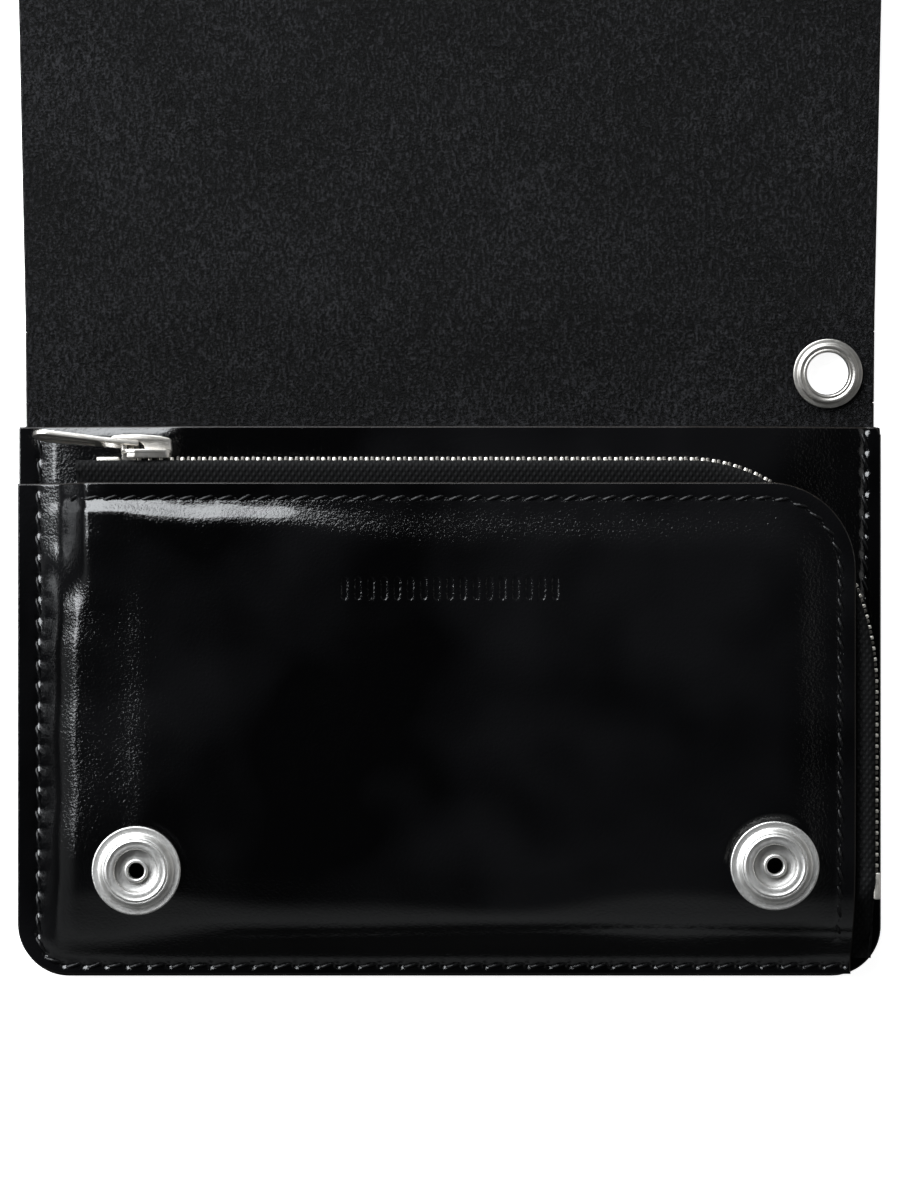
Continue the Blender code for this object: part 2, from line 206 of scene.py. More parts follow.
def inward(points):
    """Unit normals of a closed outline that runs anticlockwise, towards its inside."""
    ahead = np.roll(points, -1, axis=0) - np.roll(points, 1, axis=0)
    ahead /= np.linalg.norm(ahead, axis=1)[:, None]
    return np.stack([-ahead[:, 1], ahead[:, 0]], axis=1)


BLOCK = 4000


def distance_to(path, x, y, skip=()):
    """How far each point is from a path, in blocks so that the arrays stay small.

    Parts of the path that lie along one of the rows in skip aren't counted."""
    found = np.full(len(x), 1.0)
    a, b = path[:-1], path[1:]
    counted = np.ones(len(a), dtype=bool)
    for row in skip:
        counted &= (np.abs(a[:, 1] - row) > 0.001 * MM) | (np.abs(b[:, 1] - row) > 0.001 * MM)
    a, b = a[counted], b[counted]
    edge = b - a
    size = np.maximum((edge**2).sum(axis=1), 1e-18)
    for start in range(0, len(x), BLOCK):
        here = slice(start, start + BLOCK)
        p = np.stack([x[here], y[here]], axis=1)[:, None, :]
        along = np.clip(((p - a) * edge).sum(axis=2) / size, 0, 1)
        gap = p - (a + along[..., None] * edge)
        found[here] = np.sqrt((gap**2).sum(axis=2)).min(axis=1)
    return found


def waves(x, y, seed, length, count=6):
    """Soft unevenness about 1 high, with waves of about this length."""
    rng = np.random.default_rng(seed)
    total = np.zeros(len(x))
    for _ in range(count):
        angle, phase = rng.uniform(0, 2 * math.pi, 2)
        pitch = 2 * math.pi / (length * rng.uniform(0.7, 1.6))
        total += np.sin(pitch * (x * math.cos(angle) + y * math.sin(angle)) + phase)
    return total / math.sqrt(count)


RIM_STEPS = (0.05 * MM, 0.13 * MM, 0.25 * MM, 0.42 * MM)


def leather_sheet(
    name, outline, holes, top, thick, materials, place, rings, detail=(), spacing=1.6 * MM, square=()
):
    """A closed sheet with rounded edges.

    top(x, y) is its upper side, and place puts (x, y, height) in the world.
    rings are distances from the edge where the mesh follows the outline; detail holds extra points.
    Edges along the rows in square stay square, because another sheet carries on from there."""
    rim = 0.3 * MM
    edge_spacing = 0.45 * MM
    loops = [dense(outline, edge_spacing)] + [dense(hole, edge_spacing) for hole in holes]
    sets = []
    for loop in loops:
        normal = inward(loop)
        for ring in list(RIM_STEPS) + list(rings):
            sets.append(loop + normal * ring)
    lowest, highest = loops[0].min(axis=0), loops[0].max(axis=0)
    grid = grid_of(*(np.arange(a + spacing, b, spacing) for a, b in zip(lowest, highest)))
    closed = [np.vstack([loop, loop[:1]]) for loop in loops]
    furthest = max(list(RIM_STEPS) + list(rings))
    away = np.min([distance_to(line, grid[:, 0], grid[:, 1]) for line in closed], axis=0)
    sets.append(grid[away > furthest + 0.3 * spacing])
    extra = [np.asarray(points) for points in detail]
    if extra:
        dots = np.vstack(extra)
        away = np.min([distance_to(line, dots[:, 0], dots[:, 1]) for line in closed], axis=0)
        sets.append(dots[away > 0.5 * MM])
    points = np.vstack(loops + sets)
    points = np.round(points / (0.01 * MM)) * 0.01 * MM
    edges, start = [], 0
    for loop in loops:
        edges += [(start + i, start + (i + 1) % len(loop)) for i in range(len(loop))]
        start += len(loop)
    found = delaunay_2d_cdt([Vector(p) for p in points], edges, [], 2 if holes else 1, 1e-7)
    flat = np.array([tuple(v) for v in found[0]])
    faces = np.array(found[2])
    corner = flat[faces]
    middle = corner.mean(axis=1)
    inside = np.ones(len(faces), dtype=bool)
    for line in closed[1:]:
        inside &= ~contains(line, middle)
    inside &= contains(closed[0], middle)
    faces = faces[inside]
    corner = flat[faces]
    area = np.cross(corner[:, 1] - corner[:, 0], corner[:, 2] - corner[:, 0])
    faces[area < 0] = faces[area < 0][:, ::-1]
    used, faces = np.unique(faces, return_inverse=True)
    faces = faces.reshape(-1, 3)
    flat = flat[used]
    x, y = flat[:, 0], flat[:, 1]
    away = np.min([distance_to(line, x, y, square) for line in closed], axis=0)
    fall = np.where(away < rim, rim - np.sqrt(np.maximum(rim**2 - (rim - away) ** 2, 0)), 0)
    upper = top(x, y)
    above = place(x, y, upper - fall)
    below = place(x, y, upper - thick + fall)
    count = len(flat)
    sides = np.concatenate([faces[:, [0, 1]], faces[:, [1, 2]], faces[:, [2, 0]]])
    _, index, times = np.unique(np.sort(sides, axis=1), axis=0, return_inverse=True, return_counts=True)
    open_edges = sides[times[index.reshape(-1)] == 1]
    walls = [(b, a, a + count, b + count) for a, b in open_edges]
    all_faces = [tuple(f) for f in faces] + [tuple(f + count)[::-1] for f in faces] + walls
    near = away[faces].max(axis=1) < RIM_STEPS[2]
    indices = np.concatenate([np.where(near, 2, 0), np.where(near, 2, 1), np.full(len(walls), 2)])
    return add_mesh(name, np.vstack([above, below]), all_faces, materials, indices)


def contains(line, points):
    """Whether each point is inside a closed path."""
    x, y = points[:, 0], points[:, 1]
    inside = np.zeros(len(points), dtype=bool)
    for (ax, ay), (bx, by) in zip(line[:-1], line[1:]):
        if ay == by:
            continue
        crosses = (ay > y) != (by > y)
        inside ^= crosses & (x < (bx - ax) * (y - ay) / (by - ay) + ax)
    return inside


def as_is(x, y, z):
    return np.stack([x, y, z], axis=1)


def turned(name, profile, materials, matrix, steps=72):
    """A turned piece. A profile of (radius, height) points that starts off the axis closes on itself."""
    count = len(profile)
    ring = profile[0][0] > 0
    vertices, faces = [], []
    for k in range(steps):
        angle = 2 * math.pi * k / steps
        vertices += [matrix @ Vector((r * math.cos(angle), r * math.sin(angle), z)) for r, z in profile]
    for k in range(steps):
        here, ahead = k * count, (k + 1) % steps * count
        for i in range(count if ring else count - 1):
            j = (i + 1) % count
            faces.append((here + i, here + j, ahead + j, ahead + i))
    obj = add_mesh(name, vertices, faces, materials)
    if not ring:
        shape = bmesh.new()
        shape.from_mesh(obj.data)
        bmesh.ops.remove_doubles(shape, verts=shape.verts, dist=0.001 * MM)
        bmesh.ops.dissolve_degenerate(shape, edges=shape.edges, dist=0.001 * MM)
        shape.to_mesh(obj.data)
        shape.free()
        shade(obj.data)
    return obj


def rounded(points, radius, steps=5):
    """A profile with its corners rounded, where there is room."""
    out = []
    points = [Vector(p) for p in points]
    for before, here, after in zip(points[-1:] + points[:-1], points, points[1:] + points[:1]):
        a, b = before - here, after - here
        cut = min(radius, 0.45 * a.length, 0.45 * b.length)
        start, end = here + a.normalized() * cut, here + b.normalized() * cut
        for i in range(steps + 1):
            t = i / steps
            out.append((1 - t) ** 2 * start + 2 * t * (1 - t) * here + t * t * end)
    return [tuple(p) for p in out]


def prototype(build):
    """The vertices and faces of a small shape, for copies."""
    shape = bmesh.new()
    build(shape)
    shape.verts.ensure_lookup_table()
    vertices = np.array([tuple(v.co) for v in shape.verts])
    faces = [[v.index for v in f.verts] for f in shape.faces]
    shape.free()
    return vertices, faces


def copies(name, source, matrices, materials):
    """One mesh of many copies of a small shape."""
    vertices, faces = source
    all_vertices, all_faces = [], []
    flat = np.c_[vertices, np.ones(len(vertices))]
    for k, matrix in enumerate(matrices):
        all_vertices.append((flat @ np.array(matrix).T)[:, :3])
        all_faces += [[i + k * len(vertices) for i in f] for f in faces]
    return add_mesh(name, np.vstack(all_vertices), all_faces, materials)


def soft_box(shape, lowest, highest, bevel, segments=2):
    made = bmesh.ops.create_cube(shape, size=1)
    for vertex in made["verts"]:
        vertex.co = [a + (c + 0.5) * (b - a) for a, b, c in zip(lowest, highest, vertex.co)]
    edges = list({e for v in made["verts"] for e in v.link_edges})
    bmesh.ops.bevel(shape, geom=edges, offset=bevel, segments=segments, profile=0.5, affect="EDGES")


# Materials ----------------------------------------------------------------------------------------


class Nodes:
    """A material's nodes, made one at a time."""

    def __init__(self, name):
        self.material = bpy.data.materials.new(name)
        self.material.use_nodes = True
        self.tree = self.material.node_tree
        self.shader = self.tree.nodes["Principled BSDF"]
        self.place = self.tree.nodes.new("ShaderNodeTexCoord").outputs["Object"]

    def set(self, **values):
        for name, value in values.items():
            self.shader.inputs[name.replace("_", " ")].default_value = value

    def node(self, kind, inputs=(), **settings):
        made = self.tree.nodes.new("ShaderNode" + kind)
        for name, value in settings.items():
            setattr(made, name, value)
        for name, value in dict(inputs).items():
            if isinstance(value, bpy.types.NodeSocket):
                self.tree.links.new(value, made.inputs[name])
            else:
                made.inputs[name].default_value = value
        return made

    def scaled(self, scale, turn=0.0):
        mapping = self.node("Mapping", {"Vector": self.place, "Scale": scale, "Rotation": (0, 0, turn)})
        return mapping.outputs[0]

    def noise(self, size, detail=3.0, roughness=0.5, vector=None):
        """Noise with features of about this size, in metres."""
        inputs = {"Vector": vector or self.place, "Scale": 1 / size, "Detail": detail, "Roughness": roughness}
        return self.node("TexNoise", inputs).outputs["Fac"]

    def math(self, operation, a, b=0.0):
        made = self.node("Math", operation=operation)
        for socket, value in zip(made.inputs, (a, b)):
            if isinstance(value, bpy.types.NodeSocket):
                self.tree.links.new(value, socket)
            else:
                socket.default_value = value
        return made.outputs[0]

    def spread(self, value, lowest, highest, start=0.3, end=0.7):
        inputs = {"Value": value, "From Min": start, "From Max": end, "To Min": lowest, "To Max": highest}
        return self.node("MapRange", inputs).outputs[0]

    def tones(self, value, dark, light, start=0.3, end=0.7):
        made = self.node("ValToRGB", {"Fac": value})
        ramp = made.color_ramp
        ramp.elements[0].position, ramp.elements[1].position = start, end
        ramp.elements[0].color, ramp.elements[1].color = (*dark, 1), (*light, 1)
        return made.outputs[0]

    def bump(self, height, distance, strength=1.0, under=None):
        inputs = {"Height": height, "Distance": distance, "Strength": strength}
        if under is not None:
            inputs["Normal"] = under
        return self.node("Bump", inputs).outputs[0]

    def use(self, **sockets):
        for name, socket in sockets.items():
            self.tree.links.new(socket, self.shader.inputs[name.replace("_", " ")])


def glossy_leather(name, ior, coat, dull):
    """Glass-finished black leather: gloss over a fine orange peel, with faint pores, and its colour lighter
    in soft patches as a painted haze of reflection.

    dull is its least roughness."""
    made = Nodes(name)
    made.set(IOR=ior, Coat_Weight=coat, Coat_Roughness=0.06)
    peel = made.noise(0.5 * MM, 2.0, 0.55)
    pores = made.noise(0.22 * MM, 1.0)
    # Painted reflection: the base colour is lighter in soft patches about 34 mm across, a faint haze like a
    # blurred reflection on the black.
    soft = made.noise(34 * MM, 2.0, 0.5)
    made.use(
        Base_Color=made.tones(soft, (0.0006, 0.0006, 0.0007), (0.0037, 0.0037, 0.0041), 0.42, 0.66),
        Roughness=made.spread(made.noise(4 * MM, 4.0, 0.7), dull, dull + 0.05),
        Normal=made.bump(pores, 0.02 * MM, 1.0, made.bump(peel, 0.07 * MM, 1.0)),
    )
    return made.material


def flesh_side():
    """The coated inner side of the cover: matte, fine pebbled, with faint slanting weave marks."""
    made = Nodes("leather_inner_side")
    made.set(IOR=1.17)
    pebble = made.noise(0.45 * MM, 4.0, 0.72)
    fine = made.noise(0.2 * MM, 2.0, 0.6)
    cloud = made.noise(28 * MM, 3.0, 0.6)
    streak = made.noise(0.55 * MM, 2.0, 0.5, made.scaled((1.0, 0.4, 1.0), math.radians(38)))
    relief = made.math("ADD", made.math("MULTIPLY", pebble, 0.7), made.math("MULTIPLY", streak, 0.35))
    # The colour follows the relief, and is lighter and darker in soft patches about 28 mm across.
    relief_and_clouds = made.math("ADD", relief, made.math("MULTIPLY", cloud, 0.15))
    made.use(
        Base_Color=made.tones(relief_and_clouds, (0.0004, 0.0004, 0.0005), (0.0225, 0.0225, 0.0245), 0.585, 0.765),
        Roughness=made.spread(cloud, 0.36, 0.5),
        Normal=made.bump(fine, 0.09 * MM, 1.0, made.bump(relief, 0.55 * MM, 1.0)),
    )
    return made.material


def grained(name, grain, dark, light, roughness, bump, ior=1.5):
    """A finish whose colour, roughness and relief follow one noise.

    grain is the noise's size, detail and roughness."""
    made = Nodes(name)
    made.set(IOR=ior)
    noise = made.noise(*grain)
    made.use(
        Base_Color=made.tones(noise, dark, light),
        Roughness=made.spread(noise, *roughness),
        Normal=made.bump(noise, *bump),
    )
    return made.material


KNIT_SCALE = 120 / 0.35


def tape_cloth():
    """Knitted tape: two sets of slanting ribs make small arrowheads."""
    made = Nodes("zip_tape_cloth")
    made.set(IOR=1.25, Sheen_Weight=0.03, Sheen_Roughness=0.4)
    ribs = []
    for turn in (35, -35):
        place = made.scaled((1, 1, 1), math.radians(turn))
        wave = made.node("TexWave", {"Vector": place, "Scale": KNIT_SCALE, "Distortion": 0.8})
        ribs.append(wave.outputs["Fac"])
    knit = made.math("MULTIPLY", *ribs)
    fuzz = made.noise(0.12 * MM, 2.0)
    made.use(
        Base_Color=made.tones(knit, (0.0004, 0.0004, 0.0005), (0.0035, 0.0035, 0.0038), 0.1, 0.8),
        Roughness=made.spread(fuzz, 0.65, 0.85),
        Normal=made.bump(fuzz, 0.03 * MM, 0.5, made.bump(knit, 0.12 * MM, 0.9)),
    )
    return made.material


def metal(name, dark, light, roughness, scratch=0.25 * MM):
    """Plated metal with fine brushing, faint stains and soft wear."""
    made = Nodes(name)
    made.set(Metallic=1.0)
    brush = made.noise(scratch, 5.0, 0.7)
    stain = made.noise(2.2 * MM, 3.0, 0.6)
    made.use(
        Base_Color=made.tones(stain, dark, light),
        Roughness=made.spread(brush, roughness * 0.75, roughness * 1.3),
        Normal=made.bump(brush, 0.006 * MM, 0.6),
    )
    return made.material


# Painted shade: a near-black matte for the discs that stand for the dark inside of the needle holes.
def needle_hole_shade_material():
    made = Nodes("needle_hole_shadow")
    grain = made.noise(0.2 * MM)
    made.use(Base_Color=made.tones(grain, (0.001, 0.001, 0.001), (0.003, 0.003, 0.003)))
    made.set(Roughness=0.9)
    return made.material


GLOSSY = glossy_leather("glossy_leather", 1.45, 0.4, 0.1)
OUTER = glossy_leather("outer_leather", 1.2, 0.0, 0.42)
FLESH = flesh_side()
EDGE = grained(
    "painted_edge", (0.4 * MM, 4.0, 0.65), (0.003, 0.0025, 0.0022), (0.012, 0.009, 0.007), (0.3, 0.5),
    (0.05 * MM, 0.6), 1.38,
)
LINING = grained(
    "pocket_lining", (0.3 * MM, 3.0, 0.6), (0.003, 0.003, 0.0032), (0.008, 0.008, 0.009), (0.55, 0.75),
    (0.08 * MM, 0.6),
)
TAPE = tape_cloth()
THREAD = grained(
    "waxed_thread", (0.2 * MM, 2.0), (0.0008, 0.0008, 0.0009), (0.0026, 0.0026, 0.003), (0.34, 0.5),
    (0.03 * MM, 0.5), 1.35,
)
HOLE_SHADE = needle_hole_shade_material()
SATIN = metal("satin_nickel", (0.56, 0.55, 0.53), (0.74, 0.73, 0.71), 0.46)
NICKEL = metal("polished_nickel", (0.62, 0.59, 0.54), (0.78, 0.75, 0.71), 0.36)
ZIP_METAL = metal("zip_nickel", (0.72, 0.69, 0.63), (0.88, 0.85, 0.78), 0.46)
# The back row of teeth: the zip's nickel painted dark as shade, so the gaps between the front teeth read as
# shaded.
SHADED_ZIP_METAL = metal("zip_nickel_painted_shade", (0.14, 0.13, 0.12), (0.24, 0.23, 0.21), 0.5)
OLD_NICKEL = metal("worn_nickel", (0.4, 0.385, 0.36), (0.56, 0.54, 0.51), 0.42)
SPRING = metal("spring_wire", (0.4, 0.39, 0.37), (0.52, 0.5, 0.48), 0.3)
PANEL_LEATHER = (GLOSSY, LINING, EDGE)


# Outlines and heights of the panels ---------------------------------------------------------------


def note_outline():
    side = HALF_WIDTH
    slant = 0.7 * MM
    inner, floor = side - CORNER, BODY_BOTTOM + CORNER
    return (
        [(side, BODY_TOP - 2 * slant), (side - slant, BODY_TOP), (-side, BODY_TOP)]
        + arc(-inner, floor, CORNER, 180, 270)
        + arc(inner, floor, CORNER, 270, 360)
    )


def pouch_outline():
    corner_x, corner_y = POUCH_RIGHT - POUCH_CORNER, POUCH_TOP - POUCH_CORNER
    return (
        [(-HALF_WIDTH, POUCH_TOP)]
        + arc(-HALF_WIDTH + CORNER, POUCH_BOTTOM + CORNER, CORNER, 180, 270)
        + [(POUCH_RIGHT, POUCH_BOTTOM)]
        + arc(corner_x, corner_y, POUCH_CORNER, 0, 90)
    )


def edge_seam(top, right):
    """The seam round the left and bottom sides, where the pockets are sewn to the cover."""
    x, y = -HALF_WIDTH + LEFT_SEAM, BODY_BOTTOM + BOTTOM_SEAM + 0.3 * MM
    radius = 5.5 * MM
    return [(x, top)] + arc(x + radius, y + radius, radius, 180, 270) + [(right, y)]


def mouth_seam():
    """The seam that holds the front tape, along the pouch's mouth."""
    corner_x, corner_y = POUCH_RIGHT - POUCH_CORNER, POUCH_TOP - POUCH_CORNER
    radius = POUCH_CORNER - MOUTH_SEAM
    start = (-HALF_WIDTH + 8.6 * MM, POUCH_TOP - MOUTH_SEAM)
    end = (POUCH_RIGHT - MOUTH_SEAM, POUCH_BOTTOM + 6.5 * MM)
    return [start] + arc(corner_x, corner_y, radius, 90, 0) + [end]


def right_seam():
    x = HALF_WIDTH - NOTE_SEAM
    return [(x, BODY_TOP - 0.6 * MM), (x, BODY_BOTTOM + 9 * MM)]


class Seam:
    """A row of stitches in a groove of the leather, with a pit at every needle hole."""

    def __init__(self, path, pitch):
        self.line = dense(path, 0.5 * MM, closed=False)
        self.away = lengths(self.line)
        count = round(self.away[-1] / pitch)
        self.pitch = self.away[-1] / count
        self.at = np.linspace(0, self.away[-1], count + 1)
        self.holes = self.point(self.at)

    def point(self, distance):
        return np.stack([np.interp(distance, self.away, self.line[:, i]) for i in (0, 1)], axis=-1)

    def depth(self, x, y, channel=0.14 * MM, pit=0.32 * MM, valley=0.1 * MM, reach=2 * MM):
        away = distance_to(self.line, x, y)
        total = channel * bump_at(away, 0.5 * MM) + valley * bump_at(away, reach)
        near = away < 2 * MM
        gaps = np.hypot(x[near, None] - self.holes[:, 0], y[near, None] - self.holes[:, 1]).min(axis=1)
        total[near] += pit * bump_at(gaps, 0.62 * MM)
        return total


def smooth_curve(points, blur):
    """A smooth function that follows (place in mm, value) points, with its corners blurred over blur mm."""
    places = [place * MM for place, _ in points]
    values = [value for _, value in points]
    blur *= MM
    grid = np.arange(places[0] - 4 * blur, places[-1] + 4 * blur, blur / 8)
    kernel = np.exp(-0.5 * np.arange(-3, 3.01, 0.125) ** 2)
    padded = np.pad(np.interp(grid, places, values), len(kernel) // 2, mode="edge")
    smooth = np.convolve(padded, kernel / kernel.sum(), mode="valid")
    return lambda place: np.interp(place, grid, smooth)


EDGE_SEAM = Seam(edge_seam(POUCH_TOP - 1.2 * MM, POUCH_RIGHT - 1.2 * MM), EDGE_STITCH)
TOP_LEFT_SEAM = Seam(
    [(-HALF_WIDTH + LEFT_SEAM, BODY_TOP - 1.2 * MM), (-HALF_WIDTH + LEFT_SEAM, POUCH_TOP)], EDGE_STITCH
)
MOUTH_SEAM_LINE = Seam(mouth_seam(), STITCH)
RIGHT_SEAM = Seam(right_seam(), EDGE_STITCH)

# How the panels come up from the edges that are sewn down: (mm from the edge, share of the rise).
LEFT_SIDE = smooth_curve([(0, 0), (4.2, 0), (7.4, 0.62), (10.4, 0.79), (14, 0.85), (22, 0.95), (36, 1)], 0.6)
LEFT_AT_MOUTH = smooth_curve([(0, 0), (3.2, 0), (7.8, 0.22), (12.3, 0.93), (16, 0.975), (36, 1)], 0.5)
BOTTOM_SIDE = smooth_curve([(0, 0), (2.6, 0), (7, 0.48), (9.5, 0.68), (13, 0.86), (19, 0.97), (30, 1)], 1)
NOTE_SIDE = smooth_curve([(0, 0), (3.6, 0), (6.2, 0.31), (10, 0.5), (18, 0.82), (30, 1)], 0.5)
NOTE_RIGHT = smooth_curve([(0, 0), (3.6, 0), (7.5, 0.12), (16, 0.5), (34, 1)], 0.8)
# Steps down the pouch's left shoulder that break up its gloss: (place from the body's top, width), in mm.
LEANS = [(-27.0, 2.5), (-36.1, 2.6), (-49.3, 3.6), (-67.3, 3.4), (-81.0, 4.0)]


def left_share(x, y):
    local = y - BODY_TOP
    wobble = 0.9 * MM * len(LEANS) * (1 + local / (95 * MM))
    wobble -= sum(0.45 * MM * (1 + np.tanh((local / MM - place) / width)) for place, width in LEANS)
    mouth = step((local + 33 * MM) / (14 * MM))
    distance = x + HALF_WIDTH + wobble * (1 - mouth)
    return LEFT_SIDE(distance) * (1 - mouth) + LEFT_AT_MOUTH(distance) * mouth


def bottom_share(x, y):
    sag = 1.3 * MM * np.sin((x + 30 * MM) / (17 * MM)) + 0.7 * MM * np.sin(x / (7.3 * MM))
    distance = y - POUCH_BOTTOM
    return BOTTOM_SIDE(distance + sag * step((distance - 4 * MM) / (9 * MM)))


def risen(x, y):
    return left_share(x, y) * bottom_share(x, y)


def inset(x, y):
    """How far inside the pouch front's open edges a point is."""
    corner_x, corner_y = POUCH_RIGHT - POUCH_CORNER, POUCH_TOP - POUCH_CORNER
    straight = np.minimum(POUCH_TOP - y, POUCH_RIGHT - x)
    rounded = POUCH_CORNER - np.hypot(x - corner_x, y - corner_y)
    return np.where((x > corner_x) & (y > corner_y), rounded, straight)


def stadium_distance(x, y, half_length, radius):
    """Distance outside a shape with straight sides and round ends."""
    return np.hypot(np.maximum(np.abs(x) - half_length, 0), y) - radius


STAMP = Vector((0, BODY_TOP - 28.1 * MM))
STAMP_HALF = Vector((18.8 * MM, 2.0 * MM))
STAMP_PITCH = 2.25 * MM


def stamp(x, y):
    """A plain pressed mark: a row of short upright bars with round ends."""
    x, y = x - STAMP.x, y - STAMP.y
    nearest = np.clip(np.round(x / STAMP_PITCH), -8, 8) * STAMP_PITCH
    bar = stadium_distance(y, x - nearest, STAMP_HALF.y - 0.55 * MM, 0.55 * MM)
    return 0.15 * MM * step((0.12 * MM - bar) / (0.3 * MM))


def front_top(x, y):
    """The pouch front's upper side: low at the left and bottom, full in the middle, pressed at the snaps."""
    share = risen(x, y)
    corner = step((-50 * MM - x) / (7 * MM))
    full = 0.85 * MM - 0.4 * MM * corner
    uneven = 0.3 * MM * np.sin((x + 46 * MM) / (4.4 * MM)) + 0.3 * MM * np.sin(x / (1.9 * MM))
    length = 4.4 * MM - 1.9 * MM * corner + uneven * step((-20 * MM - x) / (12 * MM))
    length = length + 5 * MM * step((x + 38 * MM) / (34 * MM))
    crown = (WELT_DROP + full) * step((inset(x, y) - MOUTH_SEAM - 0.25 * MM) / length) - WELT_DROP
    height = FRONT_LOW + FRONT_THICK + (FRONT_HIGH - FRONT_LOW - FRONT_THICK + crown) * share
    height += 0.12 * MM * waves(x, y, 5, 34 * MM) * share * step(inset(x, y) / (20 * MM))
    fold = y - POUCH_BOTTOM - (7.8 * MM + 0.5 * MM * np.sin((x + 10 * MM) / (22 * MM)))
    height -= 0.16 * MM * bump_at(fold, 0.55 * MM) * step((x + 42 * MM) / (8 * MM))
    pressed, fade = 9.2 * MM, 1.5 * MM  # how far from a snap's axis the leather is pressed flat
    for place in SNAPS.values():
        away = np.hypot(x - place[0], y - place[1])
        too_high = np.maximum(height - FRONT_HIGH - 0.12 * MM, 0)
        height = height - too_high * step((pressed - away) / fade)
    height -= MOUTH_SEAM_LINE.depth(x, y, 0.14 * MM, 0.04 * MM, 0.06 * MM, 1.6 * MM)
    return height - EDGE_SEAM.depth(x, y) - stamp(x, y)


def back_top(x, y):
    return BACK_LOW + BACK_THICK + (BACK_HIGH - BACK_LOW - BACK_THICK) * risen(x, y)


def note_top(x, y):
    """The note pocket's front: a soft bulge that falls into the seams at both sides."""
    clear = step((y - POUCH_TOP + 2 * MM) / (2 * MM))
    left = NOTE_SIDE(x + HALF_WIDTH) * clear + left_share(x, y) * (1 - clear)
    share = left * NOTE_RIGHT(HALF_WIDTH - x) * BOTTOM_SIDE(y - POUCH_BOTTOM)
    height = NOTE_LOW + NOTE_THICK + (NOTE_HIGH - NOTE_LOW - NOTE_THICK) * share
    height += 0.08 * MM * waves(x, y, 11, 26 * MM) * share
    lip = 0.75 * MM * step(1 - (BODY_TOP - y) / (1.9 * MM)) * step((-46 * MM - x) / (6 * MM)) * share
    return height - lip - RIGHT_SEAM.depth(x, y, 0.2 * MM) - TOP_LEFT_SEAM.depth(x, y)


def seam_detail(seam, reach=1.3 * MM, spacing=0.24 * MM):
    """Points on both sides of a seam, so that the mesh can show its groove and pits."""
    line = dense(seam.line, 0.3 * MM, closed=False)
    _, left = ahead_and_left(line)
    return np.vstack([line + left * away for away in np.arange(-reach, reach + spacing / 2, spacing)])


def snap_detail():
    sets = []
    for place in SNAPS.values():
        for radius in np.arange(6.8 * MM, 10 * MM, 0.3 * MM):
            sets.append(np.array(arc(place[0], place[1], radius, 0, 357, 120)))
    return np.vstack(sets)


def stamp_detail():
    x = np.arange(-STAMP_HALF.x - 1 * MM, STAMP_HALF.x + 1 * MM, 0.22 * MM)
    y = np.arange(-STAMP_HALF.y - 0.8 * MM, STAMP_HALF.y + 0.8 * MM, 0.22 * MM)
    return grid_of(x, y) + np.array(STAMP)


def slope_detail():
    """Closer points where the panels rise from their margins."""
    x = np.arange(-HALF_WIDTH + 3 * MM, -HALF_WIDTH + 15 * MM, 0.4 * MM)
    y = np.arange(BODY_BOTTOM + 2 * MM, BODY_TOP - 1 * MM, 0.7 * MM)
    left = grid_of(x, y)
    x = np.arange(-HALF_WIDTH + 3 * MM, POUCH_RIGHT - 0.5 * MM, 0.9 * MM)
    y = np.arange(POUCH_BOTTOM + 1 * MM, POUCH_BOTTOM + 15 * MM, 0.45 * MM)
    return np.vstack([left, grid_of(x, y)])


# Leather pieces -----------------------------------------------------------------------------------


def make_panels():
    body_rings = (0.8 * MM, 1.4 * MM)
    note = leather_sheet(
        "bill_pocket_leather", note_outline(), [], note_top, NOTE_THICK, PANEL_LEATHER, as_is, body_rings,
        [slope_detail(), seam_detail(RIGHT_SEAM), seam_detail(TOP_LEFT_SEAM), slope_detail() * [-1, 1]],
    )
    back = leather_sheet(
        "coin_pouch_back_leather", pouch_outline(), [], back_top, BACK_THICK, (LINING, LINING, EDGE), as_is,
        body_rings, [slope_detail()],
    )
    post_holes = [arc(place[0], place[1], POST_HOLE, 360, 15, 24) for place in SNAPS.values()]
    front = leather_sheet(
        "coin_pouch_front_leather", pouch_outline(), post_holes, front_top, FRONT_THICK, PANEL_LEATHER, as_is,
        (0.7 * MM, 1.1 * MM),
        [
            slope_detail(), seam_detail(EDGE_SEAM), seam_detail(MOUTH_SEAM_LINE, 2.4 * MM), snap_detail(),
            stamp_detail(),
        ],
        1.2 * MM,
    )
    put(note, "bill_pocket_panel", "body")
    put(back, "coin_pouch_back", "body")
    put(front, "coin_pouch_front", "body")


SPINE_AXIS = (FOLD_B - FOLD_A).normalized()
SPINE_LENGTH = (FOLD_B - FOLD_A).length
FLAP_LENGTH = 95.5 * MM
FLAP_AXIS = Vector((0, math.cos(FLAP_TILT), math.sin(FLAP_TILT)))
BODY_LENGTH = FOLD_A.y - BODY_BOTTOM
BEND = 1.5 * MM


